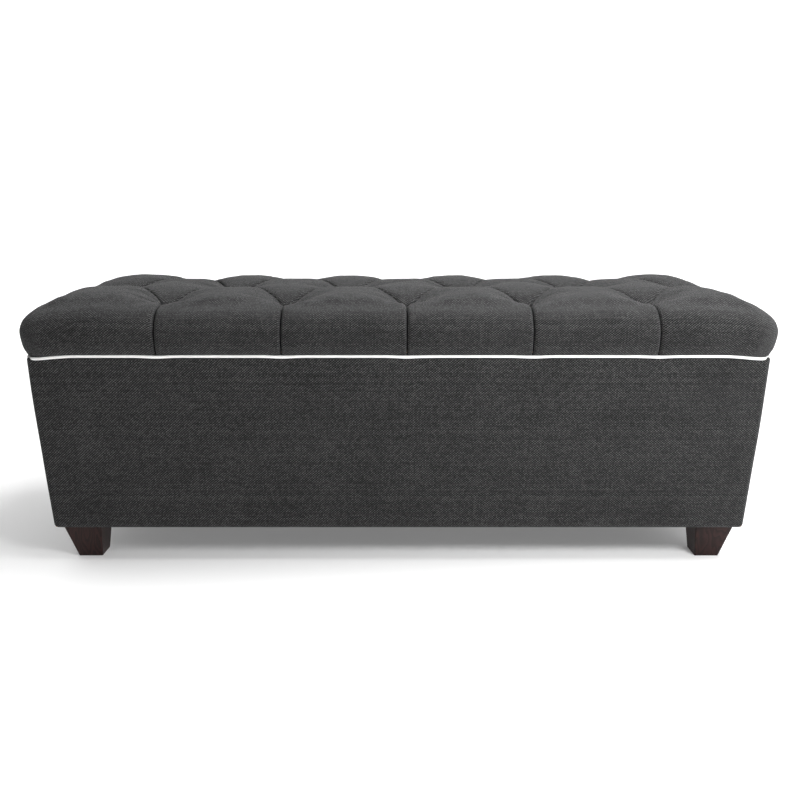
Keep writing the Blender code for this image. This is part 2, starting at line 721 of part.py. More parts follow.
def build_leaf(name, centre_x, owner, low_z):
    """One hinge leaf: a plate with its share of the knuckles; owner 0 is the box, 1 is the lid."""
    half = HINGE_LENGTH / 2
    plate_end = AXIS_Y - KNUCKLE_RADIUS - KNUCKLE_RELIEF
    plate = cuboid(
        (centre_x - half, LEAF_INNER_Y, low_z),
        (centre_x + half, plate_end, low_z + LEAF),
    )
    leaf = add_object(name, plate, "steel")
    additions = []
    for start, end in knuckle_spans(owner):
        low = (centre_x + start, plate_end - PLATE_LAP, low_z)
        high = (centre_x + end, AXIS_Y, low_z + LEAF)
        barrel = rod(0, (AXIS_Y, AXIS_Z), KNUCKLE_RADIUS, centre_x + start, centre_x + end)
        additions.append(tool(cuboid(low, high)))
        additions.append(tool(barrel))
    combine(leaf, additions, "UNION")
    bore = rod(0, (AXIS_Y, AXIS_Z), PIN_HOLE_RADIUS, centre_x - half - CUT_PAST, centre_x + half + CUT_PAST)
    combine(leaf, [tool(bore)], "DIFFERENCE")
    set_origin(leaf, (centre_x, AXIS_Y, AXIS_Z))


def build_hinges():
    for name, side in (("left", -1), ("right", 1)):
        centre_x = side * HINGE_X
        build_leaf("hinge_box_leaf_" + name, centre_x, 0, RIM_Z + TOUCH_GAP)
        lid_leaf_low = HEM_Z - 2 * TOUCH_GAP - LINING - LEAF
        build_leaf("hinge_lid_leaf_" + name, centre_x, 1, lid_leaf_low)
        half = HINGE_LENGTH / 2 + 0.0010
        pin = rod(0, (AXIS_Y, AXIS_Z), PIN_RADIUS, centre_x - half, centre_x + half)
        pin = add_object("hinge_pin_" + name, pin, "steel")
        set_origin(pin, (centre_x, AXIS_Y, AXIS_Z))


# ---------------------------------------------------------------- sliding stays
def from_axis(distance, drop):
    """A point in the Y-Z plane, forward of the hinge axis and turned down by an angle."""
    return Vector((AXIS_Y - distance * math.cos(drop), AXIS_Z - distance * math.sin(drop)))


def strip_outline(start, end, half_width, steps=6):
    """Outline of a flat bar with round ends, in the Y-Z plane."""
    along = (end - start).normalized()
    across = Vector((-along.y, along.x))
    points = []
    for centre, turn in ((end, 0.0), (start, math.pi)):
        for i in range(steps + 1):
            angle = turn - math.pi / 2 + math.pi * i / steps
            points.append(centre + along * (half_width * math.cos(angle)) + across * (half_width * math.sin(angle)))
    return [tuple(point) for point in points]


def spin_span(side, start, end):
    """X span on one side of the bench, in rising order."""
    return tuple(sorted((side * start, side * end)))


def slide_positions():
    """Sliding pin positions along the track with the lid closed and fully open."""
    lead = TRACK_DROP - ARM_DROP
    closed = 2 * STAY_REACH * math.cos(lead)
    opened = 2 * STAY_REACH * math.cos(lead + LID_OPENING)
    return closed, opened


def wall_x(z):
    """Inner face of the lined end wall at a height."""
    lined = RIM_HALF_LENGTH - COVER - PANEL - 3 * TOUCH_GAP - WELL_CLOTH
    return lined * (1 - FLARE_X * (RIM_Z - z))


def build_track(side, name):
    """A slotted steel strip standing off the end wall on two feet."""
    closed, opened = slide_positions()
    front = from_axis(closed + TRACK_FRONT_END, TRACK_DROP)
    back = from_axis(opened - TRACK_BACK_END, TRACK_DROP)
    low_x, high_x = spin_span(side, TRACK_X, TRACK_X + STRIP)
    strip = prism(strip_outline(back, front, TRACK_HALF_WIDTH), 0, low_x, high_x)
    track = add_object("stay_track_" + name, strip, "black_steel")
    slot = strip_outline(from_axis(opened, TRACK_DROP), from_axis(closed, TRACK_DROP), SLOT_HALF_WIDTH)
    combine(track, [tool(prism(slot, 0, low_x - CUT_PAST, high_x + CUT_PAST))], "DIFFERENCE")
    feet = []
    for place in (front, back):
        reach = wall_x(place.y - 0.003) - TOUCH_GAP
        foot_low, foot_high = spin_span(side, TRACK_X + STRIP / 2, reach)
        feet.append(tool(rod(0, tuple(place), TRACK_FOOT_RADIUS, foot_low, foot_high, sides=10)))
    combine(track, feet, "UNION")


def build_arm(side, name):
    """The swinging arm, with the headed pin that slides in the track."""
    closed, _ = slide_positions()
    pivot = from_axis(STAY_REACH, ARM_DROP)
    slide = from_axis(closed, TRACK_DROP)
    low_x, high_x = spin_span(side, ARM_X, ARM_X + ARM_THICKNESS)
    bar = prism(strip_outline(pivot, slide, ARM_HALF_WIDTH), 0, low_x, high_x)
    arm = add_object("stay_arm_" + name, bar, "black_steel")
    pin_low, pin_high = spin_span(side, ARM_X + ARM_THICKNESS / 2, TRACK_X + STRIP + 0.0012)
    head_low, head_high = spin_span(side, TRACK_X + STRIP + 0.0005, TRACK_X + STRIP + 0.0020)
    additions = [
        tool(rod(0, tuple(slide), SLIDE_PIN_RADIUS, pin_low, pin_high, sides=12)),
        tool(rod(0, tuple(slide), SLIDE_HEAD_RADIUS, head_low, head_high, sides=12)),
    ]
    combine(arm, additions, "UNION")
    hole = rod(0, tuple(pivot), RIVET_HOLE_RADIUS, low_x - CUT_PAST, high_x + CUT_PAST)
    combine(arm, [tool(hole)], "DIFFERENCE")
    set_origin(arm, (0, pivot.x, pivot.y))


def build_stay_bracket(side, name):
    """Angle bracket under the lid with the rivet that carries the arm."""
    pivot = from_axis(STAY_REACH, ARM_DROP)
    top_z = HEM_Z - 2 * TOUCH_GAP - LINING
    flange_low, flange_high = spin_span(side, EAR_X - FLANGE_WIDTH, EAR_X + STRIP)
    ear_low, ear_high = spin_span(side, EAR_X, EAR_X + STRIP)
    flange_start = (flange_low, pivot.x - BRACKET_HALF, top_z - STRIP)
    flange = cuboid(flange_start, (flange_high, pivot.x + BRACKET_HALF, top_z))
    bracket = add_object("stay_bracket_" + name, flange, "black_steel")
    ear = [
        (pivot.x - BRACKET_HALF, top_z - STRIP / 2),
        (pivot.x - BRACKET_HALF, top_z - EAR_SHOULDER),
        (pivot.x - EAR_TIP_WIDE, pivot.y - EAR_TIP_NARROW),
        (pivot.x - EAR_TIP_NARROW, pivot.y - EAR_TIP_WIDE),
        (pivot.x + EAR_TIP_NARROW, pivot.y - EAR_TIP_WIDE),
        (pivot.x + EAR_TIP_WIDE, pivot.y - EAR_TIP_NARROW),
        (pivot.x + BRACKET_HALF, top_z - EAR_SHOULDER),
        (pivot.x + BRACKET_HALF, top_z - STRIP / 2),
    ]
    arm_face = ARM_X + ARM_THICKNESS
    rivet_low, rivet_high = spin_span(side, EAR_X + STRIP / 2, arm_face + RIVET_PAST_ARM)
    cap_low, cap_high = spin_span(side, arm_face + HEAD_CLEARANCE, arm_face + HEAD_END)
    additions = [
        tool(prism(ear, 0, ear_low, ear_high)),
        tool(rod(0, tuple(pivot), RIVET_RADIUS, rivet_low, rivet_high)),
        tool(rod(0, tuple(pivot), RIVET_HEAD_RADIUS, cap_low, cap_high)),
    ]
    combine(bracket, additions, "UNION")


def build_stays():
    for name, side in (("left", -1), ("right", 1)):
        build_track(side, name)
        build_arm(side, name)
        build_stay_bracket(side, name)


def build_bench():
    clear_scene()
    build_front_or_back(-1, "front")
    build_front_or_back(1, "back")
    build_end(-1, "left")
    build_end(1, "right")
    build_base()
    build_feet()
    build_lid()
    build_hinges()
    build_stays()


build_bench()
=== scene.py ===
"""A storage bench: diamond-tufted lid, tapered charcoal cloth box, white piping and dark feet."""

import math

import bpy
import numpy as np
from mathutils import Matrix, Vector
from mathutils.bvhtree import BVHTree


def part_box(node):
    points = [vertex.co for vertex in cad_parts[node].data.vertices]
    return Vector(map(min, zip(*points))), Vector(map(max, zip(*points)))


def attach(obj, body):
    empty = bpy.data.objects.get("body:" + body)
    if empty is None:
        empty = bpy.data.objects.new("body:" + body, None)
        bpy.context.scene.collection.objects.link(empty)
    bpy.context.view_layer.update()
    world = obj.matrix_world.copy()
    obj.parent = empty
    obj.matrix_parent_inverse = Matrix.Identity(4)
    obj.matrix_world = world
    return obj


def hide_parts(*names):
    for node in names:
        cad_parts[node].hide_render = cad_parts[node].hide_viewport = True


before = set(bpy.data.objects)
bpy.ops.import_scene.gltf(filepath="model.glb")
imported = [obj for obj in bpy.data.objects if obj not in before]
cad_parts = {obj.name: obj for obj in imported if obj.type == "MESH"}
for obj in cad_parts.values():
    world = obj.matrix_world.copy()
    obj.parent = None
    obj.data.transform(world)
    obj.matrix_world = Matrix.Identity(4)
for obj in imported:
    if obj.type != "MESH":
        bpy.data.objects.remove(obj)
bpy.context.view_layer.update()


# ---------------- sizes, read from the frame
LID_LOW, LID_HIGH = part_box("seat_cover")
HALF_LENGTH = LID_HIGH.x
HALF_DEPTH = LID_HIGH.y
HEM_Z = LID_LOW.z
BOX_LOW, BOX_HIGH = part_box("front_cover")
RIM_Z = BOX_HIGH.z
BOX_BOTTOM_Z = BOX_LOW.z
RIM_HALF_LENGTH = BOX_HIGH.x
RIM_HALF_DEPTH = -BOX_LOW.y
FLARE_X = 0.095  # share of the length lost per metre below the rim
FLARE_Y = 0.120

# The lid's side, from the crest where it turns into the top down to the hem.
SIDE_ROLL = [
    (0.0330, 0.0815),
    (0.0185, 0.0748),
    (0.0075, 0.0635),
    (0.0015, 0.0500),
    (0.0000, 0.0390),
    (0.0012, 0.0270),
    (0.0040, 0.0130),
    (0.0105, 0.0000),
]  # (inset from the widest outline, height above the hem)
CREST_INSET = SIDE_ROLL[0][0]
CORNER_RADIUS = 0.045
CREST_X = HALF_LENGTH - CREST_INSET
CREST_Y = HALF_DEPTH - CREST_INSET
CREST_RADIUS = CORNER_RADIUS - CREST_INSET

# Tufting
STEPS = 45  # mesh steps from one row of buttons to the next
SIDE_STEPS = 19  # mesh steps from the crest to the hem
END_STEPS = 33  # mesh steps from the end buttons to the crest
FRONT_STEPS = 21  # mesh steps from the front and back buttons to the crest
RELAX_ROUNDS = 260
OVERSTEP = 1.9  # how far past level each round moves the skin
START_SAG = 0.004
FOLD_Z = HEM_Z + 0.0950  # folds midway between buttons
EDGE_FOLD_DROP = 0.0050  # the pleats at the edge lie lower than the diagonal folds
EDGE_FOLD_REACH = 0.030  # past the front and back rows, where that drop is complete
END_FOLD_SPAN = (0.53, 0.56)  # along the length, where that drop begins and is complete
PIT_DEPTH = 0.043  # buttons below the folds
PIT_REACH = 0.044
PUFF = 0.0115  # filling between the folds
PUFF_FIRMNESS = 0.75
PUFF_SPREAD = 0.0016
EDGE_ROLL = 0.0098  # how far the top falls to the crest
EDGE_REACH = 0.050
CORNER_ROLL = 0.010  # how much further it falls at the corners
CORNER_ROLL_REACH = 0.13
BROAD_WAVE = 0.0007  # unevenness of the filling
FINE_WAVE = 0.00022
SIDE_WAVE = 0.0008
GATHER_HEIGHT = 0.0090  # short folds round each button
GATHER_START = 0.012
GATHER_REACH = 0.022
GATHER_SHARPNESS = 0.6
GATHER_LEVEL = 0.72
SLIT = 0.0150  # depth and half width of the sharp line of a fold
SLIT_REACH = 0.0015
SLIT_FADE = 0.35  # share of the slit's depth that is lost down the side
DRAW = 0.72  # share by which the cloth is drawn towards a fold
DRAW_REACH = 0.005
OVERLAP = 0.0034  # one side of a diagonal fold lies over the other
OVERLAP_REACH = 0.006
OVERLAP_CLEAR = (0.010, 0.030)  # from a button, where the overlap begins and is complete
PLEAT_PULL = 0.0050
PLEAT_REACH = 0.045
PLEAT_FADE = 0.65  # share of the pull that is lost down the side
CORNER_DROOP = 0.0050  # the hem hangs lower at the corners
CORNER_DROOP_REACH = 0.100
CORNER_DROOP_FROM = 0.14  # it begins this far in front of the middle
HEM_DIP = 0.0013  # the hem and piping dip a little under each pleat
HEM_DIP_REACH = 0.022
HEM_TURN = [
    (0.0008, -0.0008, 1.0),
    (0.0030, -0.0009, 0.8),
    (0.0060, 0.0003, 0.3),
    (0.0200, 0.0005, 0.0),
]  # (inward, lift, share of the droop) of the cloth turned under
BUTTON_RADIUS = 0.0100
BUTTON_HEIGHT = 0.0062
BUTTON_SEAT = 0.0006  # how far the button sits into its pit
BUTTON_DOME = [
    (0.00, 1.00),
    (0.25, 0.97),
    (0.50, 0.87),
    (0.72, 0.68),
    (0.88, 0.44),
    (0.97, 0.18),
    (0.98, -0.05),
    (0.90, -0.25),
]  # (share of the radius, share of the height)

# Cloth solver
SWELL_STEP = 3  # lines of the grid for each line of the copy
SWELL_FRAMES = 20
SWELL_PRESSURE = 3.0
SWELL_SLACK = 0.03  # spare cloth between the folds
SWELL_CAP = 0.010  # most that a point may move
SWELL_MARGIN = 0.025  # the movement fades out this near to the crest

# Piping
PIPING_RADIUS = 0.0026
PIPING_OUT = 0.0010  # the cord lies this much further out than the frame's
PIPING_STEP = 0.0022  # mesh steps along the cord
PIPING_LEAN = 0.45  # at the corners the cord moves out by this share of the droop
PIPING_UNEVEN = 0.012
STITCH_SPACING = 0.0045

RANDOM = np.random.default_rng(7)


# ---------------- small maths
def ease(value, low, high):
    """0 below low, 1 above high, smooth between."""
    share = np.clip((value - low) / (high - low), 0.0, 1.0)
    return share * share * (3 - 2 * share)


def running_length(path):
    """Length along a path up to each of its points."""
    return np.concatenate([[0], np.cumsum(np.linalg.norm(np.diff(path, axis=0), axis=1))])


def even_points(path, count):
    """Points evenly spread along a path."""
    along = running_length(path)
    wanted = np.linspace(0, along[-1], count)
    return np.stack([np.interp(wanted, along, path[:, k]) for k in range(path.shape[1])], axis=1)


def smooth_curve(points, count):
    """Points evenly spread along a smooth curve through the given points."""
    points = np.array(points, float)
    ends = np.vstack([2 * points[0] - points[1], points, 2 * points[-1] - points[-2]])
    fine = []
    for a, b, c, d in zip(ends, ends[1:], ends[2:], ends[3:]):
        for t in np.linspace(0, 1, 24, endpoint=False):
            fine.append(0.5 * (2 * b + (c - a) * t + (2 * a - 5 * b + 4 * c - d) * t**2
                               + (3 * b - a - 3 * c + d) * t**3))
    return even_points(np.array(fine + [points[-1]]), count)


def waves(x, y, count, shortest, longest):
    """Gentle unevenness over a surface, about -1 to 1."""
    total = np.zeros_like(x)
    for _ in range(count):
        length = RANDOM.uniform(shortest, longest)
        heading, phase = RANDOM.uniform(0, 2 * math.pi, 2)
        total += np.cos(2 * math.pi * (x * math.cos(heading) + y * math.sin(heading)) / length + phase)
    return total / math.sqrt(count)


def to_segments(x, y, segments):
    """Distance to the nearest of some plan segments, and the unit direction away from it."""
    nearest = np.full(x.shape, 1e9)
    away_x = np.zeros_like(x)
    away_y = np.zeros_like(x)
    for (ax, ay), (bx, by) in segments:
        dx, dy = bx - ax, by - ay
        along = np.clip(((x - ax) * dx + (y - ay) * dy) / (dx * dx + dy * dy), 0, 1)
        off_x = x - ax - along * dx
        off_y = y - ay - along * dy
        distance = np.hypot(off_x, off_y)
        closer = distance < nearest
        nearest = np.where(closer, distance, nearest)
        away_x = np.where(closer, off_x / np.maximum(distance, 1e-9), away_x)
        away_y = np.where(closer, off_y / np.maximum(distance, 1e-9), away_y)
    return nearest, away_x, away_y


def to_points(x, y, places):
    """Distance to the nearest of some plan points, and which one it is."""
    distances = np.stack([np.hypot(x - px, y - py) for px, py in places])
    return distances.min(axis=0), distances.argmin(axis=0)


# ---------------- meshes
def grid_faces(index):
    """Four-sided faces over a two-way grid of vertex numbers."""
    corners = [index[:-1, :-1], index[1:, :-1], index[1:, 1:], index[:-1, 1:]]
    return np.stack(corners, axis=-1).reshape(-1, 4)


class Shape:
    """Points, faces and cloth coordinates gathered into one mesh."""

    def __init__(self):
        self.points = []
        self.cloth = []
        self.faces = []
        self.count = 0

    def add_points(self, points, cloth=None):
        """Adds an array of points of any shape; returns their numbers in that shape."""
        points = np.asarray(points, float)
        flat = points.reshape(-1, 3)
        index = np.arange(self.count, self.count + len(flat)).reshape(points.shape[:-1])
        self.count += len(flat)
        self.points.append(flat)
        self.cloth.append((points if cloth is None else np.asarray(cloth, float)).reshape(-1, 3))
        return index

    def add_grid(self, points, cloth=None, flip=False):
        index = self.add_points(points, cloth)
        self.add_faces(grid_faces(index.T if flip else index))
        return index

    def add_faces(self, faces):
        self.faces.extend(np.asarray(faces).tolist())

    def piece(self, name, material, smooth=True):
        mesh = bpy.data.meshes.new(name)
        mesh.from_pydata(np.concatenate(self.points).tolist(), [], self.faces)
        cloth = mesh.attributes.new("cloth", "FLOAT_VECTOR", "POINT")
        cloth.data.foreach_set("vector", np.concatenate(self.cloth).astype(np.float32).ravel())
        mesh.polygons.foreach_set("use_smooth", [smooth] * len(mesh.polygons))
        mesh.materials.append(material)
        mesh.update()
        made = bpy.data.objects.new(name, mesh)
        bpy.context.scene.collection.objects.link(made)
        return made


def turned(profile, sides):
    """A grid turned about the vertical axis from (radius, height) pairs, closed round."""
    angles = np.linspace(0, 2 * math.pi, sides + 1)
    rows = [[(r * math.cos(a), r * math.sin(a), z) for a in angles] for r, z in profile]
    return np.array(rows)


def weld(piece, distance=0.00001):
    modifier = piece.modifiers.new("joined edges", "WELD")
    modifier.merge_threshold = distance


# ---------------- shader expressions
def maths(operation, swapped=False):
    """A method that adds one maths node fed by the socket and any other values."""
    def method(field, *others):
        values = (*others, field) if swapped else (field, *others)
        return field.finish.field("ShaderNodeMath", {"operation": operation}, values)
    return method


class Field:
    """One socket of a material. Maths on it adds the nodes."""

    def __init__(self, finish, socket):
        self.finish = finish
        self.socket = socket

    __add__ = __radd__ = maths("ADD")
    __sub__ = maths("SUBTRACT")
    __rsub__ = maths("SUBTRACT", swapped=True)
    __mul__ = __rmul__ = maths("MULTIPLY")
    __truediv__ = maths("DIVIDE")
    __pow__ = maths("POWER")
    floor = maths("FLOOR")
    part = maths("FRACT")  # what is left above the whole number below
    sine = maths("SINE")
    size = maths("ABSOLUTE")
    wrap = maths("FLOORED_MODULO")
    below = maths("LESS_THAN")
    most = maths("MAXIMUM")

    def between(self, low, high):
        """0 at low, 1 at high, smooth between and level beyond."""
        settings = {"interpolation_type": "SMOOTHSTEP"}
        values = {"Value": self, "From Min": low, "From Max": high}
        return self.finish.field("ShaderNodeMapRange", settings, values, "Result")


class Finish:
    """A material made of nodes round one Principled shader."""

    def __init__(self, name):
        self.material = bpy.data.materials.new(name)
        self.material.use_nodes = True
        self.tree = self.material.node_tree
        self.shader = self.tree.nodes["Principled BSDF"]

    def node(self, kind, settings=None, values=()):
        node = self.tree.nodes.new(kind)
        for key, value in (settings or {}).items():
            if key == "stops":
                self._set_stops(node.color_ramp, value)
            else:
                setattr(node, key, value)
        pairs = values.items() if isinstance(values, dict) else enumerate(values)
        for key, value in pairs:
            self.feed(node.inputs[key], value)
        return node

    def _set_stops(self, ramp, stops):
        while len(ramp.elements) > 1:
            ramp.elements.remove(ramp.elements[-1])
        for number, (place, colour) in enumerate(stops):
            element = ramp.elements[0] if number == 0 else ramp.elements.new(place)
            element.position = place
            element.color = (*colour, 1)

    def feed(self, socket, value):
        if isinstance(value, Field):
            self.tree.links.new(value.socket, socket)
        elif socket.type == "RGBA" and len(value) == 3:
            socket.default_value = (*value, 1)
        else:
            socket.default_value = value

    def set(self, **values):
        """Sets or links the shader's own sockets; underscores stand for spaces."""
        for key, value in values.items():
            self.feed(self.shader.inputs[key.replace("_", " ")], value)

    def field(self, kind, settings, values, output=0):
        return Field(self, self.node(kind, settings, values).outputs[output])

    def place(self, attribute=None):
        """Coordinates in metres: a named attribute, or the object's own."""
        if attribute:
            return self.field("ShaderNodeAttribute", {"attribute_name": attribute}, {}, "Vector")
        return self.field("ShaderNodeTexCoord", {}, {}, "Object")

    def axes(self, vector):
        node = self.node("ShaderNodeSeparateXYZ", {}, [vector])
        return [Field(self, socket) for socket in node.outputs]

    def vector(self, x, y, z):
        return self.field("ShaderNodeCombineXYZ", {}, [x, y, z])

    def stretch(self, vector, factors):
        return self.field("ShaderNodeVectorMath", {"operation": "MULTIPLY"}, [vector, factors])

    def noise(self, vector, scale, detail=3.0, roughness=0.5):
        values = {"Vector": vector, "Scale": scale, "Detail": detail, "Roughness": roughness}
        return self.field("ShaderNodeTexNoise", {}, values, "Fac")

    def scatter(self, *numbers):
        """A random number from 0 to 1 for each whole-number cell."""
        vector = self.vector(*(list(numbers) + [0.0, 0.0])[:3])
        return self.field("ShaderNodeTexWhiteNoise", {"noise_dimensions": "3D"}, {"Vector": vector}, "Value")

    def mix(self, share, first, second):
        node = self.node("ShaderNodeMix", {"data_type": "RGBA"}, {"Factor": share})
        self.feed(node.inputs[6], first)
        self.feed(node.inputs[7], second)
        return Field(self, node.outputs[2])

    def ramp(self, share, stops):
        return self.field("ShaderNodeValToRGB", {"stops": stops}, {"Fac": share}, "Color")

    def bump(self, height, depth):
        """Relief of a height from 0 to 1 that is depth metres deep."""
        values = {"Height": height, "Distance": depth, "Strength": 1.0}
        return self.field("ShaderNodeBump", {}, values, "Normal")


# ---------------- cloth finishes
YARN_ACROSS = 0.00120  # pitch of the upright yarns
YARN_UP = 0.00106  # pitch of the level yarns
CHARCOAL_STOPS = [
    (0.00, (0.0020, 0.0020, 0.0021)),
    (0.30, (0.0085, 0.0084, 0.0085)),
    (0.55, (0.0265, 0.0261, 0.0263)),
    (0.80, (0.0740, 0.0730, 0.0734)),
    (1.00, (0.1450, 0.1430, 0.1435)),
]
WHITE_STOPS = [(0.1, (0.66, 0.65, 0.62)), (0.45, (0.85, 0.845, 0.83)), (0.9, (0.93, 0.93, 0.92))]
WHITE_THREAD = 0.0007
DIMPLE_SPACING = 0.0022


def yarn_relief(across, along):
    """Height of a yarn that shows: round across, and sinking at the ends of its float."""
    round_top = (across * math.pi).sine().size() ** 0.7
    float_end = (along * math.pi).sine().size() ** 0.45
    return round_top * float_end


def basket_weave(finish, place):
    """Yarns in pairs, over two and under two. Returns relief, which set shows, and a shade per yarn."""
    s, t, _ = finish.axes(place)
    across, up = s / YARN_ACROSS, t / YARN_UP
    pair_across, pair_up = (across / 2).floor(), (up / 2).floor()
    upright_shows = (pair_across + pair_up).wrap(2.0).below(0.5)
    upright = yarn_relief(across, (up / 2).part())
    level = yarn_relief(up, (across / 2).part())
    relief = level + (upright - level) * upright_shows
    slub = finish.noise(finish.vector(s * 38, up.floor() * 5.3, 9.0), 1.0, 2.0)
    yarn_up = finish.scatter(across.floor(), 3.0)
    yarn_across = finish.scatter(up.floor(), 8.0)
    single = finish.scatter(pair_across, pair_up, 5.0)
    shade_up = single * 0.7 + yarn_up * 0.3
    shade_across = single * 0.5 + yarn_across * 0.3 + slub * 0.5 - 0.15
    shade = shade_across + (shade_up - shade_across) * upright_shows
    return relief, upright_shows, shade


def charcoal_cloth():
    """Basket-weave furnishing cloth: dark upright yarns, paler level ones, and level slubs, with painted
    shade darkening it along the folds.
    """
    finish = Finish("charcoal_cloth")
    place = finish.place("cloth")
    relief, upright_shows, shade = basket_weave(finish, place)
    fleck = finish.noise(place, 900.0, 2.0)
    worn = finish.noise(place, 9.0, 3.0)
    s, t, fold_shade_depth = finish.axes(place)
    rib = ((s / YARN_ACROSS - t / YARN_UP) * (math.pi / 2)).sine()
    light = shade * 0.50 + (1 - upright_shows) * 0.36 + relief * 0.22 + (fleck - 0.5) * 0.6
    light = light + rib * 0.22 + (worn - 0.5) * 0.16 - 0.12
    colour = finish.ramp(light, CHARCOAL_STOPS)
    # painted shade: the cloth is turned nearly black along the folds, where shade falls in them
    colour = finish.mix(fold_shade_depth.between(0.0012, 0.0075) * 0.92, colour, (0.0022, 0.0022, 0.0023))
    fibres = finish.noise(place, 2600.0, 2.0)
    finish.set(
        Base_Color=colour,
        Roughness=0.92 - relief * 0.10,
        Specular_IOR_Level=0.15,
        Sheen_Weight=0.14,
        Sheen_Roughness=0.42,
        Sheen_Tint=(0.62, 0.63, 0.64, 1.0),
        Normal=finish.bump(relief + fibres * 0.25, 0.00055),
    )
    return finish.material


def white_cloth():
    """Plain-weave white cotton, cut on the slant and pulled round the piping cord."""
    finish = Finish("white_piping_cloth")
    place = finish.place("cloth")
    s, t, _ = finish.axes(place)
    slant, counter = (s + t) / WHITE_THREAD, (s - t) / WHITE_THREAD
    relief = (slant * math.pi).sine().size() * 0.5 + (counter * math.pi).sine().size() * 0.5
    soiled = finish.noise(place, 22.0, 3.0)
    shade = soiled * 0.35 + relief * 0.45 + finish.noise(place, 700.0, 2.0) * 0.2
    colour = finish.ramp(shade, WHITE_STOPS)
    finish.set(
        Base_Color=colour,
        Roughness=0.80 + soiled * 0.12,
        Sheen_Weight=0.15,
        Normal=finish.bump(relief, 0.00018),
    )
    return finish.material


def black_cloth():
    """Thin black felted cloth with a pressed dimple pattern."""
    finish = Finish("black_lining_cloth")
    place = finish.place("cloth")
    s, t, _ = finish.axes(place)
    dimple_s = (s / DIMPLE_SPACING * math.pi).sine()
    dimple_t = (t / DIMPLE_SPACING * math.pi).sine()
    dimple = (dimple_s * dimple_t).size().between(0.05, 0.85)
    fibres = finish.noise(finish.stretch(place, (1.0, 1.6, 1.0)), 900.0, 4.0, 0.7)
    cloudy = finish.noise(place, 30.0, 3.0)
    shade = fibres * 0.55 + cloudy * 0.25 + dimple * 0.2
    colour = finish.ramp(shade, [(0.2, (0.006, 0.006, 0.007)), (0.8, (0.030, 0.030, 0.032))])
    finish.set(
        Base_Color=colour,
        Roughness=0.85 + cloudy * 0.1,
        Specular_IOR_Level=0.25,
        Sheen_Weight=0.10,
        Normal=finish.bump(dimple * 0.6 + fibres * 0.5, 0.0003),
    )
    return finish.material


# ---------------- wood and metal finishes
def drawn_out(finish, lengthwise, factor):
    """The object's own coordinates, with what follows from them drawn out along one axis."""
    factors = [1.0, 1.0, 1.0]
    factors[lengthwise] = factor
    return finish.stretch(finish.place(), tuple(factors))


def wood_grain(finish, lengthwise, ring_scale):
    """Grain that runs along one axis: 0 on pale early wood to 1 on dark late wood."""
    place = drawn_out(finish, lengthwise, 0.06)
    warp = finish.noise(place, 14.0, 3.0)
    rings = ((finish.noise(place, ring_scale, 2.0) + warp * 0.35) * 17.0).part()
    pores = finish.noise(drawn_out(finish, lengthwise, 0.05), 1400.0)
    return rings.between(0.1, 0.95), pores, warp


def dark_lacquered_wood():
    """Espresso stain under satin lacquer, rubbed slightly paler on its edges."""
    finish = Finish("dark_lacquered_wood")
    rings, pores, warp = wood_grain(finish, 2, 26.0)
    pointiness = finish.field("ShaderNodeNewGeometry", {}, {}, "Pointiness")
    rubbed = pointiness.between(0.52, 0.60)
    shade = rings * 0.45 + pores * 0.35 + warp * 0.25
    colour = finish.ramp(shade, [(0.15, (0.0300, 0.0115, 0.0105)), (0.85, (0.0070, 0.0034, 0.0034))])
    colour = finish.mix(rubbed * 0.45, colour, (0.034, 0.016, 0.012))
    finish.set(
        Base_Color=colour,
        Roughness=0.40 + pores * 0.16,
        Specular_IOR_Level=0.16,
        Coat_Weight=0.05,
        Coat_Roughness=0.22,
        Normal=finish.bump(1.0 - pores * 0.6 - rings * 0.3, 0.00012),
    )
    return finish.material


def sawn_timber(name, lengthwise, pale, dark):
    """Unfinished wood with visible grain and saw marks."""
    finish = Finish(name)
    rings, pores, warp = wood_grain(finish, lengthwise, 9.0)
    saw = (finish.axes(finish.place())[lengthwise] * 900.0 + warp * 3.0).sine()
    shade = rings * 0.5 + pores * 0.25 + warp * 0.3
    colour = finish.ramp(shade, [(0.15, pale), (0.85, dark)])
    finish.set(
        Base_Color=colour,
        Roughness=0.62 + pores * 0.25,
        Normal=finish.bump(1.0 - rings * 0.4 - pores * 0.5 + saw * 0.12, 0.00030),
    )
    return finish.material


PLY_THICKNESS = 0.0028


def plywood(name, lengthwise, through):
    """Birch plywood: quiet face grain, with the plies showing as stripes on its edges."""
    finish = Finish(name)
    rings, pores, warp = wood_grain(finish, lengthwise, 5.0)
    layers = finish.axes(finish.place())[through] / PLY_THICKNESS
    ply = finish.scatter(layers.floor(), 5.0)
    glue = 1.0 - ((layers.part() - 0.5).size() * 2.0).between(0.86, 0.97)
    facing = finish.axes(finish.field("ShaderNodeNewGeometry", {}, {}, "Normal"))[through].size()
    edge = 1.0 - facing.between(0.6, 0.8)
    grain = rings * 0.4 + pores * 0.3 + warp * 0.3
    face = finish.ramp(grain, [(0.2, (0.62, 0.45, 0.28)), (0.8, (0.46, 0.31, 0.18))])
    cut = finish.ramp(ply * 0.6 + pores * 0.4, [(0.2, (0.50, 0.34, 0.19)), (0.8, (0.30, 0.19, 0.10))])
    cut = finish.mix(glue, (0.12, 0.07, 0.04), cut)
    finish.set(
        Base_Color=finish.mix(edge, face, cut),
        Roughness=0.60 + pores * 0.2,
        Normal=finish.bump(1.0 - pores * 0.6 - rings * 0.2, 0.0002),
    )
    return finish.material


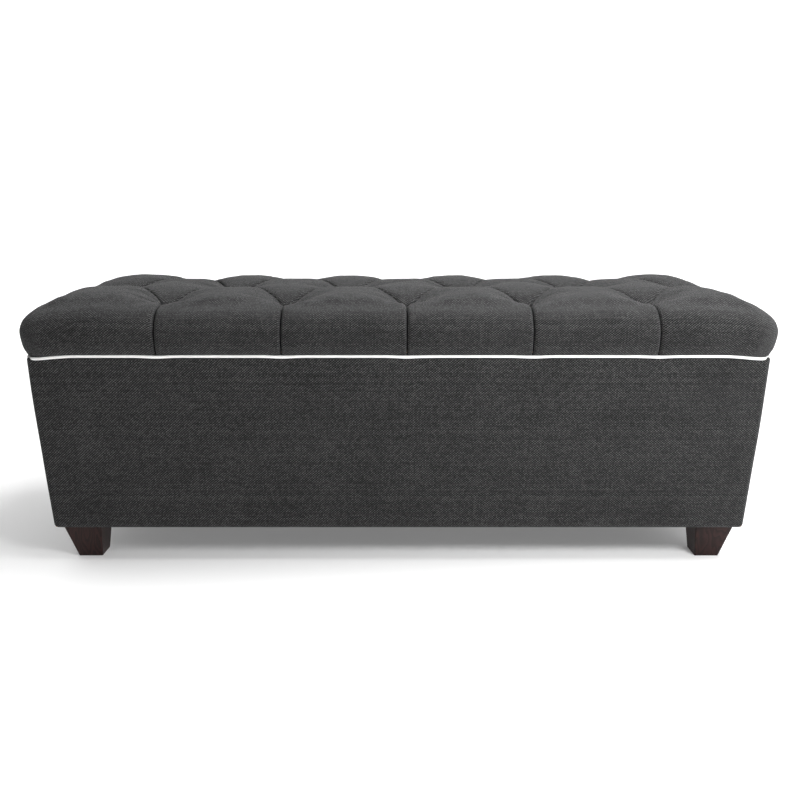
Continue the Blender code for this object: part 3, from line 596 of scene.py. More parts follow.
def zinc_steel():
    """Bright zinc-plated pressed steel with a fine brushed grain and dull patches."""
    finish = Finish("zinc_plated_steel")
    place = finish.place()
    brushed = finish.noise(finish.stretch(place, (0.05, 1.0, 1.0)), 3500.0, 3.0)
    patches = finish.noise(place, 60.0, 4.0)
    colour = finish.ramp(patches, [(0.3, (0.44, 0.45, 0.46)), (0.7, (0.62, 0.62, 0.60))])
    finish.set(
        Base_Color=colour,
        Metallic=1.0,
        Roughness=0.26 + patches * 0.22 + brushed * 0.08,
        Normal=finish.bump(brushed, 0.00003),
    )
    return finish.material


def black_enamel():
    """Black baked enamel over steel, with a faint orange-peel surface and rubbed bright spots."""
    finish = Finish("black_enamelled_steel")
    place = finish.place()
    peel = finish.noise(place, 900.0, 2.0)
    rubbed = finish.noise(place, 140.0, 5.0, 0.7).between(0.66, 0.74)
    colour = finish.mix(rubbed, (0.012, 0.012, 0.013), (0.30, 0.30, 0.30))
    finish.set(
        Base_Color=colour,
        Metallic=rubbed,
        Roughness=0.38 + peel * 0.10,
        Coat_Weight=0.3,
        Normal=finish.bump(peel, 0.00004),
    )
    return finish.material


def glowing_floor():
    # painted light: the floor glows, weakly near the bench, which lifts the bench's shadow on it, and more
    # strongly far off, where it fades into the white background
    finish = Finish("pale_floor")
    place = finish.place()
    cloudy = finish.noise(place, 0.8, 3.0)
    x, y, _ = finish.axes(place)
    far = (x.size().most(y.size())).between(0.9, 2.6)
    finish.set(
        Base_Color=finish.ramp(cloudy, [(0.3, (0.86, 0.86, 0.86)), (0.7, (0.88, 0.88, 0.88))]),
        Roughness=0.7,
        Emission_Color=finish.mix(far, (FLOOR_GLOW,) * 3, (0.6, 0.6, 0.6)),
        Emission_Strength=1.0,
    )
    return finish.material


# ---------------- tufting pattern
def middle_of(node):
    low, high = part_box(node)
    return (low + high) / 2


def button_rows():
    places = [middle_of("tuft_button_%02d" % number) for number in range(1, 17)]
    return places[:5], places[5:11], places[11:]


ROWS = button_rows()
BUTTONS = [(place.x, place.y) for row in ROWS for place in row]
ROW_Y = [row[0].y for row in ROWS]
ROW_SHIFT = [(row[0].x + row[-1].x) / 2 for row in ROWS]
ROW_SPACING = [(row[-1].x - row[0].x) / (len(row) - 1) for row in ROWS]
PLEATS_FRONT = [place.x for place in ROWS[0]]
PLEATS_BACK = [place.x for place in ROWS[2]]


def plan(row, number):
    return ROWS[row][number].x, ROWS[row][number].y


def diagonal_folds():
    folds = []
    for row in (0, 2):
        for number in range(5):
            folds.append((plan(row, number), plan(1, number)))
            folds.append((plan(row, number), plan(1, number + 1)))
    return folds


def edge_folds():
    folds = [((x, ROW_Y[0]), (x, -HALF_DEPTH)) for x in PLEATS_FRONT]
    folds += [((x, ROW_Y[2]), (x, HALF_DEPTH)) for x in PLEATS_BACK]
    folds.append((plan(1, 0), (-HALF_LENGTH, ROW_Y[1])))
    folds.append((plan(1, 5), (HALF_LENGTH, ROW_Y[1])))
    return folds


def stretched_lines(inner, last, margin_steps):
    """Tuft lines with a margin at each end: (tuft coordinate, share of the way on to the crest)."""
    margin = np.linspace(0, 1, margin_steps + 1)[1:]
    lines = np.concatenate([np.full(margin_steps, -last), inner, np.full(margin_steps, last)])
    share = np.concatenate([margin[::-1], np.zeros(len(inner)), margin])
    return lines, share


def seat_plan():
    """Plan places of the top grid. Folds and buttons fall on its vertices."""
    u, u_share = stretched_lines(np.linspace(-2.5, 2.5, 10 * STEPS + 1), 2.5, END_STEPS)
    v, v_share = stretched_lines(np.linspace(-1, 1, 2 * STEPS + 1), 1, FRONT_STEPS)
    shift = np.interp(v, (-1, 0, 1), ROW_SHIFT)
    spacing = np.interp(v, (-1, 0, 1), ROW_SPACING)
    x = shift[None] + spacing[None] * u[:, None]
    x = x + (np.sign(u)[:, None] * CREST_X - x) * u_share[:, None]
    y = np.interp(v, (-1, 0, 1), ROW_Y)
    y = y + (np.sign(v) * CREST_Y - y) * v_share
    y = np.broadcast_to(y[None], x.shape).copy()
    return round_corners(x, y)


def round_corners(x, y):
    a = np.clip((np.abs(x) - (CREST_X - CREST_RADIUS)) / CREST_RADIUS, 0, 1)
    b = np.clip((np.abs(y) - (CREST_Y - CREST_RADIUS)) / CREST_RADIUS, 0, 1)
    both = (a > 0) & (b > 0)
    new_x = np.sign(x) * (CREST_X - CREST_RADIUS + CREST_RADIUS * a * np.sqrt(1 - b * b / 2))
    new_y = np.sign(y) * (CREST_Y - CREST_RADIUS + CREST_RADIUS * b * np.sqrt(1 - a * a / 2))
    return np.where(both, new_x, x), np.where(both, new_y, y)


def fold_mask(shape):
    """Grid vertices that lie on a fold."""
    on_fold = np.zeros(shape, bool)
    first_u, first_v = END_STEPS, FRONT_STEPS
    last_u, last_v = shape[0] - 1, shape[1] - 1
    mid_v = first_v + STEPS
    steps = np.arange(STEPS + 1)
    for button in range(5):
        column = first_u + STEPS * (2 * button + 1)
        for lean in (-1, 1):
            on_fold[column + lean * steps, first_v + steps] = True
            on_fold[column + lean * steps, last_v - first_v - steps] = True
        on_fold[column, :first_v + 1] = True
        on_fold[column, last_v - first_v:] = True
    on_fold[:first_u + 1, mid_v] = True
    on_fold[last_u - first_u:, mid_v] = True
    return on_fold


def relax(start, fixed, load, dx, dy):
    """A stretched skin held at the fixed vertices and pushed up by load, free at the edge."""
    skin = start.copy()
    weight_x, weight_y = 1 / dx**2, 1 / dy**2
    total = 2 * (weight_x + weight_y)
    red = np.add.outer(np.arange(skin.shape[0]), np.arange(skin.shape[1])) % 2 == 0
    for _ in range(RELAX_ROUNDS):
        for colour in (red, ~red):
            edged = np.pad(skin, 1, mode="edge")
            level = (weight_x * (edged[2:, 1:-1] + edged[:-2, 1:-1])
                     + weight_y * (edged[1:-1, 2:] + edged[1:-1, :-2]) + load) / total
            moved = skin + OVERSTEP * (level - skin)
            skin = np.where(colour & ~fixed, moved, skin)
    return skin


def seat_top(x, y):
    """Height of the tufted top over its plan grid."""
    dx = ROW_SPACING[1] * 0.5 / STEPS
    dy = (ROW_Y[2] - ROW_Y[0]) / 2 / STEPS
    on_fold = fold_mask(x.shape)
    to_button, which = to_points(x, y, BUTTONS)
    past_rows = ease(np.abs(y), ROW_Y[2], ROW_Y[2] + EDGE_FOLD_REACH)
    past_ends = ease(np.abs(x), *END_FOLD_SPAN)
    level = FOLD_Z - EDGE_FOLD_DROP * np.maximum(past_rows, past_ends)
    fold_z = level - (level - (FOLD_Z - PIT_DEPTH)) * np.exp(-to_button / PIT_REACH)
    base = relax(np.where(on_fold, fold_z, FOLD_Z - START_SAG), on_fold, 0.0, dx, dy)
    puff = relax(np.zeros_like(x), on_fold, 1.0, dx, dy)
    filled = 1 - np.exp(-(np.maximum(puff, 0) / PUFF_SPREAD) ** PUFF_FIRMNESS)
    z = base + PUFF * filled - edge_roll(x, y)
    z += BROAD_WAVE * waves(x, y, 10, 0.09, 0.22) * filled
    z += FINE_WAVE * waves(x, y, 16, 0.022, 0.050) * filled
    return z + button_gathers(x, y, to_button, which)


def nearness(place, edge, reach):
    """1 at an edge on either side of the middle, falling to 0 at reach inside it."""
    return np.clip(1 - (edge - np.abs(place)) / reach, 0, 1)


def edge_roll(x, y):
    """The top rolls down towards the crest all round, and further at the corners."""
    end = nearness(x, CREST_X, EDGE_REACH)
    front = nearness(y, CREST_Y, EDGE_REACH)
    corner = nearness(x, CREST_X, CORNER_ROLL_REACH) * nearness(y, CREST_Y, CORNER_ROLL_REACH)
    return EDGE_ROLL * np.hypot(end**2, front**2) + CORNER_ROLL * corner**1.5


def button_gathers(x, y, to_button, which):
    """Short sharp folds that spread out from each button."""
    centres = np.array(BUTTONS)
    angle = np.arctan2(y - centres[which, 1], x - centres[which, 0])
    phase = RANDOM.uniform(0, 2 * math.pi, len(BUTTONS))[which]
    many = RANDOM.integers(4, 6, len(BUTTONS))[which]
    strength = np.exp(-to_button / GATHER_REACH) * (1 - np.exp(-((to_button / GATHER_START) ** 2)))
    ridge = np.abs(np.cos(many * angle + phase)) ** GATHER_SHARPNESS
    return GATHER_HEIGHT * strength * (ridge - GATHER_LEVEL)


def fill_with_cloth(points, held):
    """Where the cloth solver takes a grid of points that filling pushes out between the held ones."""
    shape = Shape()
    index = shape.add_grid(points)
    copy = shape.piece("filling_copy", None)
    group = copy.vertex_groups.new(name="held")
    group.add([int(number) for number in index[held]], 1.0, "REPLACE")
    solver = copy.modifiers.new("cloth", "CLOTH")
    settings = solver.settings
    settings.quality = 6
    settings.mass = 0.4
    settings.tension_stiffness = 20
    settings.compression_stiffness = 12
    settings.shear_stiffness = 6
    settings.bending_stiffness = 0.4
    settings.shrink_min = -SWELL_SLACK
    settings.use_pressure = True
    settings.uniform_pressure_force = SWELL_PRESSURE
    settings.vertex_group_mass = "held"
    settings.effector_weights.gravity = 0
    solver.collision_settings.use_collision = False
    solver.point_cache.frame_end = SWELL_FRAMES
    for frame_number in range(1, SWELL_FRAMES + 1):
        bpy.context.scene.frame_set(frame_number)
    settled = copy.evaluated_get(bpy.context.evaluated_depsgraph_get()).data
    after = np.zeros(len(settled.vertices) * 3)
    settled.vertices.foreach_get("co", after)
    bpy.context.scene.frame_set(1)
    bpy.data.objects.remove(copy)
    return after.reshape(points.shape)


def swell(x, y, z):
    """How far the filling moves the top, worked out on a coarse copy that is held along its folds."""
    points = np.stack([x, y, z], -1)[::SWELL_STEP, ::SWELL_STEP]
    held = fold_mask(x.shape)[::SWELL_STEP, ::SWELL_STEP].copy()
    held[[0, -1]] = True
    held[:, [0, -1]] = True
    moved = fill_with_cloth(points, held) - points
    length = np.linalg.norm(moved, axis=-1, keepdims=True)
    moved = moved * SWELL_CAP * np.tanh(length / SWELL_CAP) / np.maximum(length, 1e-9)
    for _ in range(2):
        around = moved[2:, 1:-1] + moved[:-2, 1:-1] + moved[1:-1, 2:] + moved[1:-1, :-2]
        smoothed = moved[1:-1, 1:-1] * 0.5 + around * 0.125
        moved[1:-1, 1:-1] = np.where(held[1:-1, 1:-1, None], 0.0, smoothed)
    moved = spread(spread(moved, x.shape[0], 0), x.shape[1], 1)
    inside = np.minimum(CREST_X - np.abs(x), CREST_Y - np.abs(y))
    return moved * ease(inside, 0.0, SWELL_MARGIN)[..., None]


def spread(values, count, axis):
    """Fills a coarse grid in to count lines along an axis, in straight steps."""
    place = np.linspace(0, values.shape[axis] - 1, count)
    low = np.minimum(place.astype(int), values.shape[axis] - 2)
    share = (place - low).reshape([-1 if k == axis else 1 for k in range(values.ndim)])
    return np.take(values, low, axis) * (1 - share) + np.take(values, low + 1, axis) * share


def slit_depth(near):
    """Depth of a fold's sharp line at some distance from it."""
    return SLIT * np.exp(-near / SLIT_REACH)


def drawn(near):
    """How far the cloth at some distance from a fold is drawn towards it."""
    return DRAW * near * np.exp(-((near / DRAW_REACH) ** 2))


def sharpen_folds(x, y, z):
    """Draws the cloth together along each fold, with one side over the other on the diagonals."""
    near, away_x, away_y = to_segments(x, y, edge_folds() + diagonal_folds())
    diagonal, flap_x, flap_y = to_segments(x, y, diagonal_folds())
    z = z - slit_depth(near)
    x = x - away_x * drawn(near)
    y = y - away_y * drawn(near)
    front_side = (flap_y < 0) & (diagonal > 1e-6)
    lap = OVERLAP * np.exp(-((diagonal / OVERLAP_REACH) ** 2)) * front_side
    lap = lap * ease(to_points(x, y, BUTTONS)[0], *OVERLAP_CLEAR)
    return x - flap_x * lap, y - flap_y * lap, z


def fold_depth(x, y):
    """How deep the cloth lies in a fold, kept as the third cloth coordinate, where the cloth finish paints
    shade along the folds.
    """
    return slit_depth(to_segments(x, y, edge_folds() + diagonal_folds())[0])


def outward(x, y):
    """Outward direction of the lid's side at points on the crest."""
    over_x = np.sign(x) * np.maximum(np.abs(x) - (HALF_LENGTH - CORNER_RADIUS), 0)
    over_y = np.sign(y) * np.maximum(np.abs(y) - (HALF_DEPTH - CORNER_RADIUS), 0)
    length = np.maximum(np.hypot(over_x, over_y), 1e-9)
    return over_x / length, over_y / length


def crest_ring(index):
    """Vertex numbers round the edge of a grid, anticlockwise from the front left."""
    return np.concatenate([index[:-1, 0], index[-1, :-1], index[:0:-1, -1], index[0, :0:-1]])


def corner_droop(x, y):
    """How much lower the hem hangs towards the lid's corners."""
    near_end = ease(np.abs(x), RIM_HALF_LENGTH - CORNER_DROOP_REACH, RIM_HALF_LENGTH)
    near_front = ease(-y, CORNER_DROOP_FROM, RIM_HALF_DEPTH)
    return CORNER_DROOP * near_end**1.6 * near_front


def hem_dip(x, y):
    """The hem dips a little where each pleat meets it."""
    near = to_segments(x, y, edge_folds())[0]
    return HEM_DIP * np.exp(-((near / HEM_DIP_REACH) ** 2))


def tufted_cover(material):
    """The lid's cloth over its filling: tufted top, rolled sides with pleats, and a turned hem."""
    x, y = seat_plan()
    z = seat_top(x, y)
    moved = swell(x, y, z)
    top_x, top_y, z = sharpen_folds(x + moved[..., 0], y + moved[..., 1], z + moved[..., 2])
    shape = Shape()
    # the third cloth coordinate is the fold depth, which paints shade along the folds
    top = shape.add_points(np.stack([top_x, top_y, z], -1), np.stack([x, y, fold_depth(x, y)], -1))
    shape.add_faces(grid_faces(top))
    ring = crest_ring(top)
    side = side_surface(*(grid.reshape(-1)[ring] for grid in (x, y, z)))
    levels = [ring] + [shape.add_points(points, cloth) for points, cloth in side]
    for upper, lower in zip(levels, levels[1:]):
        band = np.stack([upper, lower])
        shape.add_faces(grid_faces(np.concatenate([band, band[:, :1]], axis=1)))
    cover = shape.piece("tufted_cover", material)
    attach(cover, "lid")
    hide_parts("seat_cover", "seat_foam")
    return cover


def side_surface(x, y, top_z):
    """Rings of the lid's side below the crest, each with its cloth coordinates."""
    roll = smooth_curve(SIDE_ROLL, SIDE_STEPS + 1)
    along = running_length(roll)
    out_x, out_y = outward(x, y)
    near, away_x, away_y = to_segments(x, y, edge_folds())
    pull = PLEAT_PULL * np.clip(1 - near / PLEAT_REACH, 0, 1) ** 2
    slit = slit_depth(near)
    x_drawn, y_drawn = x - away_x * drawn(near), y - away_y * drawn(near)
    lowered = corner_droop(x, y) + hem_dip(x, y)
    uneven = SIDE_WAVE * waves(x, y, 12, 0.05, 0.20)
    rings = []
    for step in range(1, SIDE_STEPS + 1):
        share = step / SIDE_STEPS
        start = float(ease(np.array(share), 0.0, 0.25))
        out = CREST_INSET - roll[step, 0] - pull * start * (1 - PLEAT_FADE * share**2)
        out = out - slit * (1 - SLIT_FADE * share) + uneven * start * (1 - share)
        z = HEM_Z + roll[step, 1] * (top_z - HEM_Z) / roll[0, 1] - lowered * share**3
        points = np.stack([x_drawn + out_x * out, y_drawn + out_y * out, z], -1)
        # the third cloth coordinate carries the slit's depth, which paints shade along the pleats
        cloth = np.stack([x + out_x * along[step], y + out_y * along[step], slit], -1)
        rings.append((points, cloth))
    return rings + hem_underside(rings[-1], out_x, out_y, lowered)


def hem_underside(last, out_x, out_y, lowered):
    """The cloth turned under the board."""
    points, cloth = last
    rings = []
    for inward, lift, follow in HEM_TURN:
        x = points[:, 0] - out_x * inward
        y = points[:, 1] - out_y * inward
        z = HEM_Z + lift - lowered * follow
        under = cloth + np.stack([out_x, out_y, 0 * out_x], -1) * inward
        rings.append((np.stack([x, y, z], -1), under))
    return rings


# ---------------- buttons
def covered_button(number, cover_tree, material):
    """A dome covered in the same cloth, seated in its pit and gathered round its rim."""
    place = middle_of("tuft_button_%02d" % number)
    hit = cover_tree.ray_cast(Vector((place.x, place.y, 1)), Vector((0, 0, -1)))
    seat_z = hit[0].z - BUTTON_SEAT
    grid = turned([(r * BUTTON_RADIUS, h * BUTTON_HEIGHT) for r, h in BUTTON_DOME], 40)
    angle = np.arctan2(grid[..., 1], grid[..., 0])
    rim = np.linspace(0, 1, len(BUTTON_DOME))[:, None] ** 3
    gather = 1 + 0.035 * rim * np.cos(14 * angle + number)
    cloth = grid * (1, 1, 0) + (place.x * 3.1, place.y * 2.3, 0)
    grid = grid * np.stack([gather, gather, np.ones_like(gather)], -1)
    shape = Shape()
    shape.add_grid(grid[::-1] + (place.x, place.y, seat_z), cloth[::-1])
    button = shape.piece("covered_button_%02d" % number, material)
    weld(button)
    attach(button, "lid")
    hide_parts("tuft_button_%02d" % number)


def tuft_buttons(cover, material):
    corners = [vertex.co for vertex in cover.data.vertices]
    tree = BVHTree.FromPolygons(corners, [face.vertices for face in cover.data.polygons])
    for number in range(1, 17):
        covered_button(number, tree, material)


# ---------------- piping
def lid_outline(inset, spacing):
    """Plan outline of the lid at an inset, anticlockwise from the middle of the back, evenly spaced."""
    radius = CORNER_RADIUS - inset
    centre = np.array((HALF_LENGTH - CORNER_RADIUS, HALF_DEPTH - CORNER_RADIUS))
    points = [centre * (0, 1) + (0, radius)]
    for turn, signs in enumerate(((-1, 1), (-1, -1), (1, -1), (1, 1))):
        for angle in np.linspace(math.pi / 2 * (turn + 1), math.pi / 2 * (turn + 2), 24):
            points.append(centre * signs + (radius * math.cos(angle), radius * math.sin(angle)))
    points = np.array(points + points[:1])
    return even_points(points, int(running_length(points)[-1] / spacing))


def piping(name, node, keep, material):
    """Cloth-covered cord sewn under the hem, along the part of the outline that keep() picks."""
    centre_z = middle_of(node).z
    path = lid_outline(HALF_DEPTH - middle_of("piping_back").y - PIPING_OUT, PIPING_STEP)
    path = path[keep(path)]
    if name == "piping_cord_back":
        path = path[np.argsort(-path[:, 0])]
    droop = corner_droop(path[:, 0], path[:, 1])
    lowered = droop + hem_dip(path[:, 0], path[:, 1])
    path = np.column_stack([path, centre_z - lowered])
    tangent = np.gradient(path, axis=0)
    tangent /= np.linalg.norm(tangent, axis=1)[:, None]
    side = np.cross(tangent, (0, 0, 1))
    side /= np.linalg.norm(side, axis=1)[:, None]
    up = np.cross(side, tangent)
    path = path + side * (droop * PIPING_LEAN)[:, None]
    along = running_length(path)
    ripple = np.sin(along / STITCH_SPACING * 2 * math.pi) + waves(along, 0 * along, 6, 0.01, 0.05)
    stitches = 1 + PIPING_UNEVEN * ripple
    from_end = np.minimum(along, along[-1] - along)
    taper = np.sqrt(np.clip(1 - (1 - from_end / PIPING_RADIUS).clip(0, 1) ** 2, 0.0004, 1))
    radius = PIPING_RADIUS * stitches * taper
    angles = np.linspace(0, 2 * math.pi, 15)
    ring = side[:, None] * np.cos(angles)[None, :, None] + up[:, None] * np.sin(angles)[None, :, None]
    grid = path[:, None] + ring * radius[:, None, None]
    s, t = np.meshgrid(along, angles * PIPING_RADIUS, indexing="ij")
    shape = Shape()
    shape.add_grid(grid, np.stack([s, t, 0 * s], -1))
    cord = shape.piece(name, material)
    weld(cord)
    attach(cord, "lid")
    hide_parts(node)


def lid_piping(material):
    end_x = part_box("piping_back")[1].x
    start_x = 2 * middle_of("hinge_lid_leaf_right").x - end_x
    back_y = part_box("piping_back")[0].y
    piping("piping_cord_front", "piping_front",
           lambda path: (path[:, 1] < back_y) | (np.abs(path[:, 0]) > start_x), material)
    piping("piping_cord_back", "piping_back",
           lambda path: (path[:, 1] > back_y) & (np.abs(path[:, 0]) < end_x), material)


# ---------------- box covers
COVER_LIP = 0.0180
BOX_CORNER = 0.0080
BOTTOM_ROUND = 0.0075
TOP_ROUND = 0.0042
WALL_BOW = 0.0016
WALL_WAVE = 0.0005
FRONT_SEAM_INSET = 0.0185  # the front and back covers end this far round the corners
END_SEAM_INSET = 0.0188  # where the end covers meet them
SEAM_ROLL = 0.0016  # the cloth turns in at a seam
SEAM_REACH = 0.0035


def wall_profile():
    """(outward, height) from the lip turned over the rim, down the wall, to the lip turned under."""
    points = [(-COVER_LIP, RIM_Z - 0.0006), (-0.010, RIM_Z - 0.0001), (-TOP_ROUND, RIM_Z)]
    high = RIM_Z - TOP_ROUND
    for angle in np.linspace(0, math.pi / 2, 8)[1:]:
        points.append((-TOP_ROUND + TOP_ROUND * math.sin(angle), high + TOP_ROUND * math.cos(angle)))
    low = BOX_BOTTOM_Z + BOTTOM_ROUND
    for share in np.linspace(0, 1, 42)[1:-1]:
        points.append((WALL_BOW * math.sin(math.pi * share), high * (1 - share) + low * share))
    for angle in np.linspace(0, math.pi / 2, 10):
        points.append((-BOTTOM_ROUND + BOTTOM_ROUND * math.cos(angle), low - BOTTOM_ROUND * math.sin(angle)))
    points += [(-0.012, BOX_BOTTOM_Z - 0.0002), (-COVER_LIP, BOX_BOTTOM_Z)]
    return np.array(points)


def front_path(side):
    """Plan path of the front or back cover: round one corner, along the wall and round the other."""
    seam_y = RIM_HALF_DEPTH - FRONT_SEAM_INSET
    edge = RIM_HALF_LENGTH - BOX_CORNER
    points, normals = [], []
    for y in np.linspace(seam_y, RIM_HALF_DEPTH - BOX_CORNER, 8)[:-1]:
        points.append((-RIM_HALF_LENGTH, y))
        normals.append((-1.0, 0.0))
    for angle in np.linspace(0, math.pi / 2, 9):
        normal = (-math.cos(angle), math.sin(angle))
        points.append((-edge + BOX_CORNER * normal[0], RIM_HALF_DEPTH - BOX_CORNER + BOX_CORNER * normal[1]))
        normals.append(normal)
    for x in np.linspace(-edge, 0, 130)[1:]:
        points.append((x, RIM_HALF_DEPTH))
        normals.append((0.0, 1.0))
    points, normals = np.array(points), np.array(normals)
    points = np.vstack([points, points[-2::-1] * (-1, 1)]) * (1, side)
    normals = np.vstack([normals, normals[-2::-1] * (-1, 1)]) * (1, side)
    return points, normals


def end_path(side):
    half = RIM_HALF_DEPTH - END_SEAM_INSET
    ys = np.linspace(-half, half, 110)
    points = np.stack([np.full_like(ys, side * RIM_HALF_LENGTH), ys], -1)
    normals = np.stack([np.full_like(ys, float(side)), 0 * ys], -1)
    return points, normals


def box_cover(name, node, path, flip, material):
    """Cloth over thin wadding, wrapped round a panel of the box."""
    points, normals = path
    profile = wall_profile()
    along = running_length(points)
    down = running_length(profile)
    from_seam = np.minimum(along, along[-1] - along)[:, None]
    seam_roll = SEAM_ROLL * (1 - np.clip(from_seam / SEAM_REACH, 0, 1)) ** 2
    s, t = np.meshgrid(along, down, indexing="ij")
    face = np.sin(np.clip((profile[:, 1] - BOX_BOTTOM_Z) / (RIM_Z - BOX_BOTTOM_Z), 0, 1) * math.pi)[None]
    out = profile[None, :, 0] - seam_roll + WALL_WAVE * waves(s, t, 14, 0.10, 0.40) * face
    z = np.broadcast_to(profile[None, :, 1], out.shape)
    plan_x = points[:, None, 0] + normals[:, None, 0] * out
    plan_y = points[:, None, 1] + normals[:, None, 1] * out
    below = RIM_Z - z
    grid = np.stack([plan_x * (1 - FLARE_X * below), plan_y * (1 - FLARE_Y * below), z], -1)
    cloth = np.stack([s - along[-1] / 2, -t, 0 * s], -1)
    shape = Shape()
    shape.add_grid(grid, cloth, flip=flip)
    cover = shape.piece(name, material)
    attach(cover, "box")
    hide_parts(node)


def box_covers(material):
    box_cover("wrapped_front", "front_cover", front_path(-1), True, material)
    box_cover("wrapped_back", "back_cover", front_path(1), False, material)
    box_cover("wrapped_left", "left_cover", end_path(-1), False, material)
    box_cover("wrapped_right", "right_cover", end_path(1), True, material)


# ---------------- linings
STAPLE_SPACING = 0.045
STAPLE_INSET = 0.007
STAPLE_HALF_LENGTH = 0.005
STAPLE_HALF_WIDTH = 0.0006
STAPLE_HEIGHT = 0.0005
STAPLE_SINK = 0.0007
SHEET_PUCKER = 0.0003
WELL_CLEARANCE = 0.0006  # between the lining and the panels
WELL_FLOOR_LIFT = 0.0010
WELL_TOP_GAP = 0.0002
WELL_FLOOR_WAVE = 0.0012
WELL_WALL_SLACK = 0.0014


def staple(shape, place, along, up):
    """One wire staple driven flat: a half-round bar with bent ends."""
    along, up = np.array(along, float), np.array(up, float)
    across = np.cross(up, along)
    rows = []
    for share in np.linspace(-1, 1, 9):
        sink = STAPLE_SINK * max(abs(share) - 0.8, 0) / 0.2
        centre = np.array(place) + along * (share * STAPLE_HALF_LENGTH) - up * sink
        row = []
        for angle in np.linspace(0, math.pi, 6):
            over = up * (STAPLE_HEIGHT * math.sin(angle))
            row.append(centre + across * (STAPLE_HALF_WIDTH * math.cos(angle)) + over)
        rows.append(row)
    shape.add_grid(np.array(rows))


def staple_row(name, body, places, up, material):
    """Staples along a closed run of (x, y, z, heading) places."""
    shape = Shape()
    for x, y, z, heading in places:
        slant = heading + RANDOM.uniform(-0.12, 0.12)
        staple(shape, (x, y, z), (math.cos(slant), math.sin(slant), 0), up)
    row = shape.piece(name, material)
    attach(row, body)
    return row


def edge_places(half_x, half_y, spacing):
    """Places along a rectangle's four sides with their headings."""
    places = []
    for x in np.arange(-half_x + spacing / 2, half_x, spacing):
        places += [(x, -half_y, 0.0), (x, half_y, 0.0)]
    for y in np.arange(-half_y + spacing / 2, half_y, spacing):
        places += [(-half_x, y, math.pi / 2), (half_x, y, math.pi / 2)]
    return places


def flat_sheet(half_x, half_y, count_x, count_y):
    """A rectangular plan grid and each point's distance from its edge."""
    x, y = np.meshgrid(np.linspace(-half_x, half_x, count_x),
                       np.linspace(-half_y, half_y, count_y), indexing="ij")
    return x, y, np.minimum(half_x - np.abs(x), half_y - np.abs(y))


def stapled_sheet(name, node, body, sag, cloth, steel):
    """Thin cloth stapled flat under a board, a little slack between its staples."""
    low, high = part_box(node)
    middle = (low + high) / 2
    half_x, half_y = (high.x - low.x) / 2, (high.y - low.y) / 2
    x, y, inside = flat_sheet(half_x, half_y, 241, 91)
    pucker = np.exp(-inside / 0.020) * np.cos(2 * math.pi * (x + y) / STAPLE_SPACING)
    slack = sag * ease(inside, 0.0, 0.10) * (0.7 + 0.3 * waves(x, y, 8, 0.15, 0.5))
    z = low.z - slack - SHEET_PUCKER * pucker
    shape = Shape()
    points = np.stack([x + middle.x, y + middle.y, z], -1)
    shape.add_grid(points[:, ::-1], np.stack([x, y, 0 * x], -1)[:, ::-1])
    sheet = shape.piece(name, cloth)
    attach(sheet, body)
    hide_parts(node)
    places = edge_places(half_x - STAPLE_INSET, half_y - STAPLE_INSET, STAPLE_SPACING)
    staple_z = low.z - SHEET_PUCKER
    places = [(px + middle.x, py + middle.y, staple_z, heading) for px, py, heading in places]
    staples = staple_row(name + "_staples", body, places, (0, 0, -1), steel)


def well_lining(cloth):
    """The storage well's lining: cut as a cross and folded up the walls."""
    low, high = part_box("storage_lining")
    half_x, half_y = high.x - WELL_CLEARANCE, high.y - WELL_CLEARANCE
    height = high.z - low.z
    rise = np.linspace(0, 1, 46)
    shape = Shape()
    floor_x = half_x * (1 - FLARE_X * (RIM_Z - low.z))
    floor_y = half_y * (1 - FLARE_Y * (RIM_Z - low.z))
    x, y, inside = flat_sheet(floor_x, floor_y, 220, 84)
    uneven = WELL_FLOOR_WAVE * ease(inside, 0, 0.05) * (1 + waves(x, y, 12, 0.06, 0.30))
    z = low.z + WELL_FLOOR_LIFT + uneven
    shape.add_grid(np.stack([x, y, z], -1), np.stack([x, y, 0 * x], -1))
    for side in (-1, 1):
        shape.add_grid(*lining_wall(half_x, half_y, low.z, height, rise, side, along_x=True), flip=side > 0)
        shape.add_grid(*lining_wall(half_y, half_x, low.z, height, rise, side, along_x=False), flip=side < 0)
    lining = shape.piece("well_lining", cloth)
    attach(lining, "box")
    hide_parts("storage_lining")


def lining_wall(half_along, half_across, low_z, height, rise, side, along_x):
    """One wall of the lining, with slack folds that die out at the top."""
    share = np.linspace(-1, 1, 200 if along_x else 90)
    a, t = np.meshgrid(share, rise, indexing="ij")
    z = low_z + WELL_FLOOR_LIFT + t * (height - WELL_FLOOR_LIFT - WELL_TOP_GAP)
    below = RIM_Z - z
    along_flare, across_flare = (FLARE_X, FLARE_Y) if along_x else (FLARE_Y, FLARE_X)
    place = a * half_along * (1 - along_flare * below)
    slack = WELL_WALL_SLACK * np.sin(math.pi * t) ** 0.7 * ease(1 - np.abs(a), 0, 0.05)
    slack = slack * (1 + 0.8 * waves(place, z * 0.4, 14, 0.05, 0.25))
    across = side * (half_across * (1 - across_flare * below) - np.maximum(slack, 0))
    points = np.stack([place, across, z] if along_x else [across, place, z], -1)
    cloth = np.stack([place, z, 0 * z], -1)
    return points, cloth


# ---------------- screws
SCREW_RADIUS = 0.0032
SCREW_DOME = 0.0006
RECESS_DEPTH = 0.0009
RECESS_ARM = (0.00025, 0.00050)  # half width at the bottom and at the top
RECESS_REACH = (0.0017, 0.0021)
RIM_SINK = 0.0005
LEAF_SCREWS = (0.18, 0.50, 0.82)  # shares of a leaf's length
LEAF_SCREW_IN = 0.0085  # in from the leaf's front edge
BRACKET_SCREW_IN = 0.0068
BRACKET_SCREW_END = 0.008
BRACKET_THICKNESS = 0.0020


